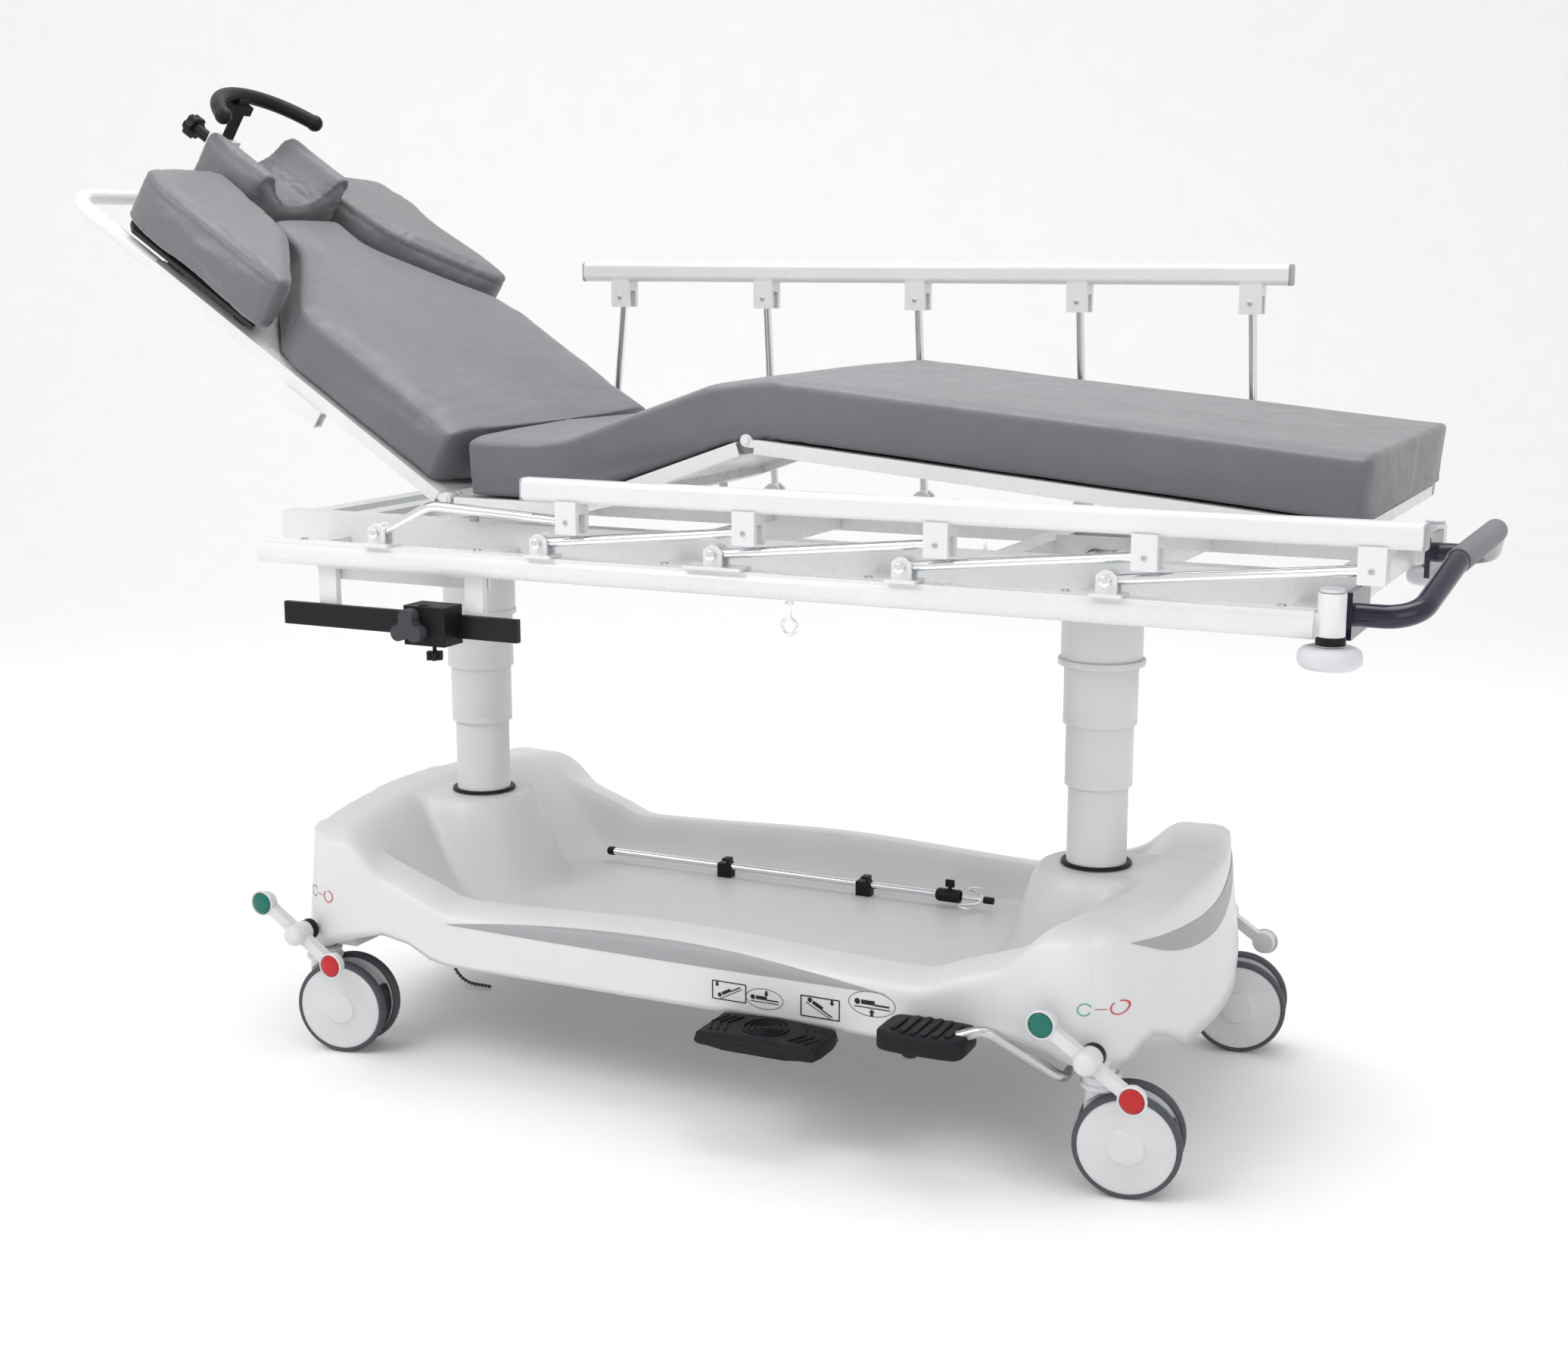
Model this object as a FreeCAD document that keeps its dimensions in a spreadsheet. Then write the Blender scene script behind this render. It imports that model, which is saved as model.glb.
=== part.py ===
"""Two-column stretcher trolley, as a parametric FreeCAD document.

Millimetres, +Z up, +X towards the foot end, -Y the near side. Heights are from the floor.
Positions are given from the middle of the two columns; "mid_x" and "mid_y" move that point
so that the origin is at the middle of the whole trolley's base.
"""
import FreeCAD, Part
import math
import os
import re
import Sketcher
from FreeCAD import Placement, Rotation, Vector

DIMS = [
    # whole trolley
    ("mid_x", 24.15), ("mid_y", 9.5),
    # castors: twin wheels on a swivel stem
    ("castor_x", 650), ("castor_y", 308), ("castor_turn", 10), ("castor_trail", 40),
    ("wheel_radius", 75), ("wheel_width", 20), ("wheel_offset", 26),
    ("axle_radius", 6), ("hood_radius", 60), ("hood_width", 24), ("stem_radius", 14),
    ("neck_radius", 23), ("neck_top", 166), ("stem_top", 190),
    # brake levers on their cross shafts
    ("shaft_z", 204), ("shaft_flats", 11), ("shaft_length", 752), ("lever_y", 372),
    ("lever_reach", 76), ("lever_angle", 34), ("lever_width", 26), ("lever_depth", 16),
    ("lever_hub_radius", 17), ("pad_radius", 18),
    # chassis
    ("chassis_top", 198), ("chassis_tube", 36), ("chassis_wall", 3), ("chassis_y", 200),
    # moulded base cover
    ("cover_half_width", 345), ("cover_corner_x", 675), ("cover_bow", 58), ("cover_bottom", 178),
    ("cover_top", 382), ("cover_wall", 5), ("rim_z", 262), ("tray_z", 205),
    ("tray_half_width", 264), ("ledge_x", 632), ("boss_radius", 86), ("boss_top", 372),
    # telescopic columns
    ("column_x", 540), ("stage_d_radius", 44.7), ("stage_c_radius", 50.1),
    ("stage_b_radius", 54.6), ("stage_a_radius", 59.8), ("stage_gap", 0.3),
    ("stage_d_wall", 4), ("stage_d_top", 535), ("stage_c_bottom", 491), ("stage_c_top", 618),
    ("stage_b_bottom", 584), ("stage_b_top", 704), ("stage_a_bottom", 672),
    ("stage_a_top", 798), ("yoke_half_gap", 31), ("yoke_thickness", 8), ("yoke_width", 44),
    ("pin_z", 835), ("pin_radius", 9.95), ("pin_bore", 10), ("slot_travel", 32),
    # upper frame
    ("beam_head_x", -731), ("beam_foot_x", 955), ("beam_y", 250), ("beam_width", 34),
    ("beam_bottom", 814), ("beam_height", 49), ("tube_wall", 3),
    ("side_y", 366), ("side_depth", 34), ("side_bottom", 800), ("side_height", 35),
    ("side_head_x", -678), ("side_foot_x", 926), ("arm_height", 14), ("arm_width", 40),
    # buffers at the foot corners
    ("buffer_x", 945), ("buffer_y", 383), ("buffer_tube", 17.5), ("buffer_disc", 39.5),
    ("buffer_disc_z", 764), ("buffer_disc_height", 27), ("buffer_bolt", 6),
    # push bar at the foot end
    ("push_tube", 15), ("push_y", 318), ("push_z", 822), ("push_grip_x", 1060),
    ("push_grip_y", 172), ("push_grip_z", 877), ("push_corner_x", 1035),
    # accessory rail under the near side
    ("acc_head_x", -642), ("acc_foot_x", -223), ("acc_y", -379), ("acc_thickness", 10),
    ("acc_bottom", 705), ("acc_height", 35),
    ("clamp_x", -397), ("clamp_length", 72), ("clamp_depth", 50), ("clamp_bottom", 697),
    ("clamp_height", 58), ("clamp_bore", 8),
    # sections of the lying surface
    ("deck_z", 900), ("back_hinge_x", -400), ("thigh_hinge_x", -190), ("thigh_length", 314),
    ("leg_length", 856), ("back_angle", 33), ("thigh_angle", 19.6), ("leg_angle", -5.3),
    ("deck_y", 286), ("deck_tube_width", 25), ("deck_tube_height", 20), ("board", 4),
    ("pad_half_width", 306), ("pad_bottom", 4), ("pad_top", 99), ("back_pad_length", 628),
    ("back_tube_length", 640), ("handle_tube", 12.5), ("handle_reach", 843),
    ("back_wedge", 34), ("thigh_wedge", 15), ("knuckle", 9), ("hinge_pin", 5), ("notch", 11),
    # head end
    ("neck_half_width", 90), ("cushion_bottom", 30), ("cushion_top", 128),
    ("headrest_start", 640), ("headrest_end", 782), ("ear_top", 167),
    ("wrist_radius", 132), ("wrist_tube", 12.5), ("wrist_centre", 708), ("wrist_level", 200),
    ("strip_s", 825), ("strip_width", 26), ("strip_thickness", 5),
    # side rails: five posts on each side
    ("rail_y", 385), ("pivot_x", -456), ("pivot_pitch", 280), ("pivot_z", 856),
    ("post_length", 331), ("post_radius", 7), ("post_eye", 9), ("post_pin", 4),
    ("folded_angle", 5.7), ("raised_angle", 92.6), ("crank_along", 94), ("crank_out", 35),
    ("rail_head", 74), ("rail_foot", 58), ("rail_low", 27), ("rail_height", 33),
    ("rail_width", 32), ("rail_wall", 3), ("socket_width", 34), ("socket_depth", 36), ("cheek_gap", 8.3),
    ("latch_x", 215),
    # foot pedals
    ("rocker_x", 182), ("rocker_y", -392), ("rocker_z", 171), ("rocker_length", 190),
    ("rocker_width", 84), ("pump_x", 424), ("pump_y", -402), ("pump_z", 212),
    ("pump_pivot_x", 606), ("pump_pivot_z", 163), ("pump_rod", 8),
    # infusion pole lying in the tray
    ("pole_y", 186), ("pole_z", 229), ("pole_head_x", -400), ("pole_length", 620),
    ("pole_radius", 6), ("pole_inner", 4.2), ("pole_rod", 4.1),
]

doc = FreeCAD.newDocument("stretcher_trolley")
sheet = doc.addObject("Spreadsheet::Sheet", "dims")
for row, (alias, value) in enumerate(DIMS, 1):
    sheet.set(f"A{row}", alias)
    sheet.set(f"B{row}", str(value))
    sheet.setAlias(f"B{row}", alias)
doc.recompute()
SIZES = dict(DIMS)
nodes = []


# ---------------------------------------------------------------- helpers

def size(alias):
    """A driving dimension, read back from the sheet."""
    return float(sheet.get(alias))


def formula(text):
    """An expression over the sheet's aliases, as FreeCAD writes it."""
    return re.sub(r"[a-z_][a-z_0-9]*",
                  lambda m: "dims." + m.group() if m.group() in SIZES else m.group(), str(text))


def bind(obj, **formulas):
    for prop, text in formulas.items():
        obj.setExpression(prop.replace("__", "."), formula(text))
    return obj


def at(obj, x=0, y=0, z=0, turn=None):
    """Places obj by three formulas; turn is an optional Rotation."""
    if turn is not None:
        obj.Placement = Placement(Vector(), turn)
    return bind(obj, Placement__Base__x=x, Placement__Base__y=y, Placement__Base__z=z)


def box(name, length, width, height, x, y, z):
    """A box from its lowest corner."""
    obj = bind(doc.addObject("Part::Box", name), Length=length, Width=width, Height=height)
    return at(obj, x, y, z)


ALONG = {"x": Rotation(Vector(0, 1, 0), 90), "y": Rotation(Vector(1, 0, 0), -90),
         "z": Rotation()}


def rod(name, radius, length, x, y, z, axis="z"):
    """A round bar that starts at a point and runs along +axis."""
    obj = bind(doc.addObject("Part::Cylinder", name), Radius=radius, Height=length)
    return at(obj, x, y, z, ALONG[axis])


def fuse(name, *parts):
    obj = doc.addObject("Part::MultiFuse", name)
    obj.Shapes = list(parts)
    return obj


def cut(name, base, *tools):
    obj = doc.addObject("Part::Cut", name)
    obj.Base = base
    obj.Tool = tools[0] if len(tools) == 1 else fuse(name + "_tools", *tools)
    return obj


def group(name, *parts):
    """Several separate solids in one node."""
    obj = doc.addObject("Part::Compound", name)
    obj.Links = list(parts)
    return obj


def shaped(name, shape):
    """A node whose shape Part's own functions make."""
    obj = doc.addObject("Part::Feature", name)
    obj.Shape = shape if shape.Placement.isIdentity() else Part.makeCompound([shape])
    return obj


def hollow_beam(name, length, width, height, x, y, z, wall="tube_wall"):
    """A rectangular tube along X."""
    outer = box(name + "_outer", length, width, height, x, y, z)
    inner = box(name + "_inner", f"{length} + 2", f"{width} - 2 * {wall}",
                f"{height} - 2 * {wall}", f"{x} - 1", f"{y} + {wall}", f"{z} + {wall}")
    return cut(name, outer, inner)


def tube(name, outer, inner, length, x, y, z, axis="z"):
    """A round tube."""
    back = {"x": (f"{x} - 1", y, z), "y": (x, f"{y} - 1", z), "z": (x, y, f"{z} - 1")}[axis]
    return cut(name, rod(name + "_outer", outer, length, x, y, z, axis),
               rod(name + "_inner", inner, f"{length} + 2", *back, axis))


def node(obj, label, x=0, y=0, z=0, turn=None):
    """Names a finished sub-part and places it from the columns' middle."""
    obj.Label = label
    at(obj, f"mid_x + {x}", f"mid_y + {y}", z, turn)
    nodes.append(obj)
    return obj


def outline(points):
    """A closed flat wire through (x, y) points."""
    corners = [Vector(x, y, 0) for x, y in points]
    return Part.makePolygon(corners + corners[:1])


def path(points, radius, closed=False):
    """Straight runs joined by tangent arcs."""
    count = len(points)
    bends = range(count) if closed else range(1, count - 1)
    cuts = {}
    edges = []
    for i in bends:
        before, here, after = points[i - 1], points[i], points[(i + 1) % count]
        u, v = (before - here).normalize(), (after - here).normalize()
        half = u.getAngle(v) / 2
        reach = min(radius / math.tan(half), 0.49 * min((before - here).Length,
                                                        (after - here).Length))
        mid = (u + v).normalize()
        bend = reach * math.tan(half)
        centre = here + mid * (bend / math.sin(half))
        cuts[i] = (here + u * reach, centre - mid * bend, here + v * reach)
        edges.append((i, Part.Arc(*cuts[i]).toShape()))
    pieces = []
    last = range(count) if closed else range(count - 1)
    arcs = dict(edges)
    for i in last:
        k = (i + 1) % count
        start = cuts[i][2] if i in cuts else points[i]
        end = cuts[k][0] if k in cuts else points[k]
        if i in arcs:
            pieces.append(arcs[i])
        if (end - start).Length > 0.01:
            pieces.append(Part.LineSegment(start, end).toShape())
    return Part.Wire(pieces)


def swept(points, radius, bend, bore=0):
    """A round bar, or tube if it has a bore, along straight runs and arcs."""
    line = path(points, bend)
    along = line.Edges[0].tangentAt(line.Edges[0].FirstParameter)

    def bar(r):
        ring = Part.Wire(Part.makeCircle(r, points[0], along))
        return line.makePipeShell([ring], True, False)
    solid = bar(radius)
    return solid.cut(bar(bore)) if bore else solid


def prism(wire, direction):
    return Part.Face(wire).extrude(direction)


def softened(shape, radius, only=lambda edge: True):
    """The shape with its chosen edges rounded."""
    return shape.makeFillet(radius, [edge for edge in shape.Edges if only(edge)])


def body_sketch(body, name, plane, points):
    """A closed polygon sketch on one of the body's own planes, each corner bound to the sheet."""
    sketch = body.newObject("Sketcher::SketchObject", name)
    origin = [f for f in body.Origin.OriginFeatures if f.Role == plane][0]
    sketch.AttachmentSupport = [(origin, "")]
    sketch.MapMode = "FlatFace"
    doc.recompute()
    guess = [Vector(*number(p), 0) for p in points]
    count = len(points)
    for i in range(count):
        sketch.addGeometry(Part.LineSegment(guess[i], guess[(i + 1) % count]), False)
    for i in range(count):
        sketch.addConstraint(Sketcher.Constraint("Coincident", i, 2, (i + 1) % count, 1))
    for i, (across, up) in enumerate(points):
        for kind, text, value in (("DistanceX", across, guess[i].x), ("DistanceY", up, guess[i].y)):
            at_row = sketch.addConstraint(Sketcher.Constraint(kind, -1, 1, i, 1, value))
            sketch.setExpression(f"Constraints[{at_row}]", formula(text))
    return sketch


def number(pair):
    """The values of two formulas, worked out by the sheet itself."""
    return [float(sheet.evalExpression(formula(text))) for text in pair]


def padded(name, plane, points, length):
    """A body made by padding one closed sketch."""
    body = doc.addObject("PartDesign::Body", name)
    sketch = body_sketch(body, name + "_sketch", plane, points)
    pad = body.newObject("PartDesign::Pad", name + "_pad")
    pad.Profile = sketch
    bind(pad, Length=length)
    doc.recompute()
    return body


# ---------------------------------------------------------------- castors and brakes

def castor(name, along, across):
    """Hood with its stem, and the twin wheels, of one castor; the swivel axis is the local Z."""
    trail, radius, offset = size("castor_trail"), size("wheel_radius"), size("wheel_offset")
    width, hood, half = size("wheel_width"), size("hood_radius"), size("hood_width") / 2
    axle_at = Vector(trail, 0, radius)
    back = Vector(0, 1, 0)
    shell = Part.makeCylinder(hood, 2 * half, axle_at - back * half, back)
    shell = shell.cut(Part.makeBox(300, 100, radius, Vector(-100, -50, -40)))
    neck = Part.makeCylinder(size("neck_radius"), size("neck_top") - radius, Vector(0, 0, radius))
    web = Part.makeBox(trail, 2 * half, 60, Vector(0, -half, radius))
    shell = shell.fuse([neck, web]).removeSplitter()
    shell = shell.cut(Part.makeCylinder(size("axle_radius") + 0.05, 100, axle_at - back * 50, back))
    for side in (-1, 1):
        inner = offset - width / 2 - 2
        gap = Part.makeCylinder(radius + 4, 60, axle_at + back * (side * inner), back * side)
        shell = shell.cut(gap)
    stem = Part.makeCylinder(size("stem_radius"), size("stem_top") - size("neck_top") + 8,
                             Vector(0, 0, size("neck_top") - 8))
    turn = Rotation(Vector(0, 0, 1), size("castor_turn"))
    node(shaped(f"{name}_hood_shape", shell.fuse(stem).removeSplitter()),
         f"castor_{name}_hood", along, across, 0, turn)
    wheels = []
    for side in (-1, 1):
        disc = Part.makeCylinder(radius, width, axle_at + back * (side * offset - width / 2), back)
        wheels.append(softened(disc, width * 0.3))
    spindle = Part.makeCylinder(size("axle_radius"), 2 * offset, axle_at - back * offset, back)
    pair = wheels[0].fuse([wheels[1], spindle])
    node(shaped(f"{name}_wheel_shape", pair), f"castor_{name}_wheels", along, across, 0, turn)


CASTORS = {"head_near": ("-castor_x", "-castor_y"), "head_far": ("-castor_x", "castor_y"),
           "foot_near": ("castor_x", "-castor_y"), "foot_far": ("castor_x", "castor_y")}
for castor_name, (along, across) in CASTORS.items():
    castor(castor_name, along, across)


def hexagon(flats, height):
    corner = flats / math.sqrt(3)
    points = [(corner * math.cos(math.radians(60 * i)), corner * math.sin(math.radians(60 * i)))
              for i in range(6)]
    return prism(outline(points), Vector(0, 0, height))


def lever(y):
    """A double foot lever on the shaft: two arms that end in round treads."""
    reach, width, depth = size("lever_reach"), size("lever_width"), size("lever_depth")
    arm = Part.makeBox(2 * reach, depth, width * 0.62, Vector(-reach, -depth / 2, -width * 0.31))
    hub = Part.makeCylinder(size("lever_hub_radius"), depth + 12, Vector(0, -depth / 2 - 6, 0),
                            Vector(0, 1, 0))
    shape = arm.fuse(hub)
    for side in (-1, 1):
        tread = Part.makeCylinder(size("pad_radius"), depth, Vector(side * reach, -depth / 2, 0),
                                  Vector(0, 1, 0))
        shape = shape.fuse(softened(tread, 3))
    shape = shape.removeSplitter()
    shape.rotate(Vector(), Vector(0, 1, 0), size("lever_angle"))
    shape.translate(Vector(0, y, 0))
    return shape


def brake(end, along):
    """One cross shaft with a double lever at each side."""
    length = size("shaft_length")
    shaft = hexagon(size("shaft_flats"), length)
    shaft.rotate(Vector(), Vector(1, 0, 0), -90)
    shaft.translate(Vector(0, -length / 2, 0))
    shape = shaft
    for y in (-size("lever_y"), size("lever_y")):
        shape = shape.fuse(lever(y))
    node(shaped(f"{end}_brake_shape", shape.removeSplitter()), f"{end}_brake_levers",
         along, 0, "shaft_z")


brake("head", "-castor_x")
brake("foot", "castor_x")


# ---------------------------------------------------------------- chassis, cover and tray

def chassis():
    """Tubes, a socket for each castor, and the innermost tube of each column."""
    low = "chassis_top - chassis_tube"
    parts = []
    for name, y in (("near", "-chassis_y - chassis_tube / 2"), ("far", "chassis_y - chassis_tube / 2")):
        parts.append(hollow_beam(f"long_{name}", "2 * castor_x - 60", "chassis_tube",
                                 "chassis_tube", "30 - castor_x", y, low, "chassis_wall"))
    for i, x in enumerate(("30 - castor_x", "-column_x - 20", "-20", "column_x - 20",
                           "castor_x - 70")):
        parts.append(box(f"cross_{i}", 40, "2 * chassis_y", "chassis_tube - 4", x, "-chassis_y",
                         f"{low} + 2"))
    for end, x in (("head", "-castor_x"), ("foot", "castor_x")):
        inward = f"{x} - 8" if end == "head" else f"{x} - 62"
        parts.append(box(f"{end}_outrigger", 70, "2 * castor_y", 16, inward, "-castor_y",
                         "stem_top - 18"))
        for side, y in (("near", "-castor_y"), ("far", "castor_y")):
            parts.append(rod(f"{end}_{side}_socket", "stem_radius + 6", 21, x, y,
                             "neck_top + 3"))
    for end, x in (("head", "-column_x"), ("foot", "column_x")):
        parts.append(box(f"{end}_column_plate", 150, 150, 8, f"{x} - 75", -75,
                         "chassis_top - 4"))
    parts.append(box("pump_lug", 32, 16, 34, "pump_pivot_x - 16", -234, "pump_pivot_z - 13"))
    frame = fuse("chassis_frame", *parts)
    pedal_bores = [rod("rocker_bore", 6.05, 30, "rocker_x", -222, "rocker_z", "y"),
                   rod("pump_bore", "pump_rod + 0.05", 16, "pump_pivot_x", -234.5,
                       "pump_pivot_z", "y")]
    bores = [rod(f"{end}_{side}_bore", "stem_radius + 0.05", 60, x, y, "neck_top - 20")
             for end, x in (("head", "-castor_x"), ("foot", "castor_x"))
             for side, y in (("near", "-castor_y"), ("far", "castor_y"))]
    feet = [tube(f"{end}_foot", "stage_d_radius", "stage_d_radius - stage_d_wall",
                 "stage_d_top - chassis_top - 4", x, 0, "chassis_top + 4")
            for end, x in (("head", "-column_x"), ("foot", "column_x"))]
    return node(fuse("chassis_shape", cut("chassis_bored", frame, *bores, *pedal_bores), *feet), "chassis")


def cover_solid(inset):
    """The moulding's outer form, or with an inset the hollow inside it.

    Bowed ends, low side rims, a tray between them, and a sloped shoulder and a boss round
    each column.
    """
    half, corner, bow = size("cover_half_width"), size("cover_corner_x"), size("cover_bow")
    bottom, top = size("cover_bottom"), size("cover_top")
    floor = bottom - (1 if inset else 0)
    plan = Part.Wire([
        Part.LineSegment(Vector(-corner, -half, 0), Vector(corner, -half, 0)).toShape(),
        Part.Arc(Vector(corner, -half, 0), Vector(corner + bow, 0, 0),
                 Vector(corner, half, 0)).toShape(),
        Part.LineSegment(Vector(corner, half, 0), Vector(-corner, half, 0)).toShape(),
        Part.Arc(Vector(-corner, half, 0), Vector(-corner - bow, 0, 0),
                 Vector(-corner, -half, 0)).toShape()])
    block = prism(plan, Vector(0, 0, top - bottom))
    block = softened(block, 30, lambda e: abs(e.tangentAt(e.FirstParameter).z) > 0.99)
    if inset:
        block = block.makeOffsetShape(-inset, 0.01)
        block.translate(Vector(0, 0, floor - block.BoundBox.ZMin))
        block = block.common(Part.makeBox(2000, 1000, top - inset - floor,
                                          Vector(-1000, -500, floor)))
    else:
        block.translate(Vector(0, 0, floor))
    rim, tray, wide = size("rim_z"), size("tray_z"), size("tray_half_width")
    ledge, boss, column = size("ledge_x"), size("boss_radius"), size("column_x")
    profile = [(-ledge, top + 9), (-ledge, top - inset - 8), (-ledge + 90, top - inset - 34),
               (-ledge + 300, rim - inset + 8), (-ledge + 380, rim - inset)]
    profile += [(-x, z) for x, z in reversed(profile)]
    above = prism(outline(profile), Vector(0, 0, 1000))
    above.rotate(Vector(), Vector(1, 0, 0), 90)
    above.translate(Vector(0, 500, 0))
    valley = [(-ledge, top + 9), (-ledge, top - inset - 14), (-column + 40, tray - inset + 40),
              (-column + 130, tray - inset)]
    valley += [(-x, z) for x, z in reversed(valley)]
    reach = 2 * (wide + inset)
    hollow = prism(outline(valley), Vector(0, 0, reach))
    hollow.rotate(Vector(), Vector(1, 0, 0), 90)
    hollow.translate(Vector(0, reach / 2, 0))
    shape = block.cut(above).cut(hollow)
    height = size("boss_top") - inset - tray + 10
    for side in (-1, 1):
        cone = Part.makeCone(boss + 62 - inset, boss - inset, height,
                             Vector(side * column, 0, tray - 10))
        neck = Part.makeBox(ledge - column + 30, 2 * (boss - inset), height,
                            Vector(side * column if side > 0 else -ledge - 30, -boss + inset,
                                   tray - 10))
        shape = shape.fuse([cone, neck])
    return shape.removeSplitter()


def base_cover():
    """One-piece moulding over the chassis, open underneath, with arches over the castors."""
    outer, inner = cover_solid(0), cover_solid(size("cover_wall"))
    shell = outer.cut(inner)
    column, half = size("column_x"), size("cover_half_width")
    for side in (-1, 1):
        shell = shell.cut(Part.makeCylinder(size("stage_d_radius") + 1.5, 300,
                                            Vector(side * column, 0, 180)))
        for y in (-1, 1):
            arch = Part.makeCylinder(120, 60, Vector(side * 500, y * half - 30, 95),
                                     Vector(0, 1, 0))
            shell = shell.cut(arch)
            shaft = Part.makeCylinder(12, 60, Vector(side * size("castor_x"), y * half - 30,
                                                     size("shaft_z")), Vector(0, 1, 0))
            shell = shell.cut(shaft)
    return node(fuse("base_cover_shape", shaped("base_cover_shell", shell), *pole_clips()),
                "base_cover")


def pole_clips():
    """Two open clips that hold the infusion pole above the tray floor."""
    clips = []
    for i, x in enumerate(("pole_head_x + 216", "pole_head_x + 475")):
        block = box(f"clip_{i}_block", 20, 24, "pole_z - tray_z + 9", x, "pole_y - 12", "tray_z")
        slot = box(f"clip_{i}_slot", 24, "2 * pole_radius + 0.4", 40, f"{x} - 2",
                   "pole_y - pole_radius - 0.2", "pole_z")
        seat = rod(f"clip_{i}_seat", "pole_radius + 0.2", 24, f"{x} - 2", "pole_y", "pole_z", "x")
        clips.append(cut(f"clip_{i}", block, slot, seat))
    return clips


def infusion_pole():
    """Outer tube with a clamping collar, and the rod with its hooks that slides inside it."""
    outer = tube("pole_outer_bar", "pole_radius", "pole_inner", "pole_length", "pole_head_x", "pole_y",
                 "pole_z", "x")
    plug = rod("pole_plug", "pole_radius + 0.6", 5, "pole_head_x - 5", "pole_y", "pole_z", "x")
    collar = cut("pole_collar", rod("collar_outer", 10.5, 34, "pole_head_x + pole_length",
                                    "pole_y", "pole_z", "x"),
                 rod("collar_inner", "pole_inner", 36, "pole_head_x + pole_length - 1", "pole_y",
                     "pole_z", "x"),
                 rod("collar_screw_hole", 3.3, 20, "pole_head_x + pole_length + 17", "pole_y",
                     "pole_z + 3"))
    node(fuse("pole_outer_shape", outer, plug, collar), "pole_tube")
    end = size("pole_head_x") + size("pole_length") + 34
    y, z = size("pole_y"), size("pole_z")
    bar = Part.makeCylinder(size("pole_rod"), end + 52 - size("pole_head_x") - 120,
                            Vector(size("pole_head_x") + 120, y, z), Vector(1, 0, 0))
    tip = Part.makeCylinder(5.4, 8, Vector(end + 50, y, z), Vector(1, 0, 0))
    shape = bar.fuse(tip)
    for side in (-1, 1):
        hook = [Vector(end + 40, y, z), Vector(end + 34, y + side * 13, z + side * 5),
                Vector(end - 6, y + side * 26, z + side * 8), Vector(end + 30, y + side * 32,
                                                                     z + side * 9)]
        shape = shape.fuse(swept(hook, 1.4, 5))
    node(shaped("pole_rod_shape", shape.removeSplitter()), "pole_rod")
    stud = Part.makeCylinder(3, 12, Vector(0, 0, 4.5))
    wing = Part.makeBox(16, 5, 13, Vector(-8, -2.5, 14))
    screw = stud.fuse(softened(wing, 2)).removeSplitter()
    node(shaped("pole_screw_shape", screw), "pole_screw",
         "pole_head_x + pole_length + 17", "pole_y", "pole_z")


CHAIN = [(-640, 30, 171.5), (-640, 30, 147), (-641, 29, 122), (-639, 30, 97), (-640, 31, 72),
         (-638, 30, 48), (-631, 29, 26), (-616, 28, 10.5), (-596, 26, 4.3), (-575, 28, 4.0),
         (-556, 27, 4.1)]
CHAIN_RADIUS = 3.5


def discharge_chain():
    """The antistatic chain: it hangs from the chassis and trails on the floor."""
    points = [Vector(*p) for p in CHAIN]
    shape = cord(points, CHAIN_RADIUS)
    return node(shaped("chain_shape", shape), "antistatic_chain")


def cord(points, radius):
    """A plain tube along a hand-set route; each bend is as large as its two runs allow."""
    edges = []
    start = points[0]
    bends = []
    for before, here, after in zip(points, points[1:], points[2:]):
        u, v = before - here, after - here
        reach = 0.45 * min(u.Length, v.Length)
        u.normalize()
        v.normalize()
        turn = math.pi - u.getAngle(v)
        bend = reach / math.tan(turn / 2)
        bends.append(round(bend, 1))
        middle = (u + v).normalize()
        centre = here + middle * (bend / math.cos(turn / 2))
        arc = (here + u * reach, centre - middle * bend, here + v * reach)
        edges += [Part.LineSegment(start, arc[0]).toShape(), Part.Arc(*arc).toShape()]
        start = arc[2]
    edges.append(Part.LineSegment(start, points[-1]).toShape())
    line = Part.Wire(edges)
    ring = Part.Wire(Part.makeCircle(radius, points[0], points[1] - points[0]))
    solid = line.makePipeShell([ring], True, False)
    print("cord: length", round(line.Length, 1), "volume ratio",
          round(solid.Volume / (math.pi * radius ** 2 * line.Length), 4), "radii", bends)
    return solid


chassis()
base_cover()
infusion_pole()
discharge_chain()


# ---------------------------------------------------------------- columns

def stage(end, x, letter, low, top):
    """One sliding tube of a column, a running gap outside the next one in."""
    inside = {"c": "stage_d_radius", "b": "stage_c_radius", "a": "stage_b_radius"}[letter]
    return tube(f"{end}_{letter}", f"stage_{letter}_radius", f"{inside} + stage_gap",
                f"{top} - {low}", x, 0, low)


def column_head(end, x):
    """The outermost tube with its cap and the yoke that carries the upper frame."""
    walls = stage(end, x, "a", "stage_a_bottom", "stage_a_top - 8")
    parts = [walls, rod(f"{end}_cap", "stage_a_radius", 8, x, 0, "stage_a_top - 8")]
    for side, y in (("near", "-yoke_half_gap - yoke_thickness"), ("far", "yoke_half_gap")):
        parts.append(box(f"{end}_yoke_{side}", "yoke_width", "yoke_thickness",
                         "pin_z - stage_a_top + 16", f"{x} - yoke_width / 2", y, "stage_a_top"))
    return fuse(f"{end}_head", *parts)


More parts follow.
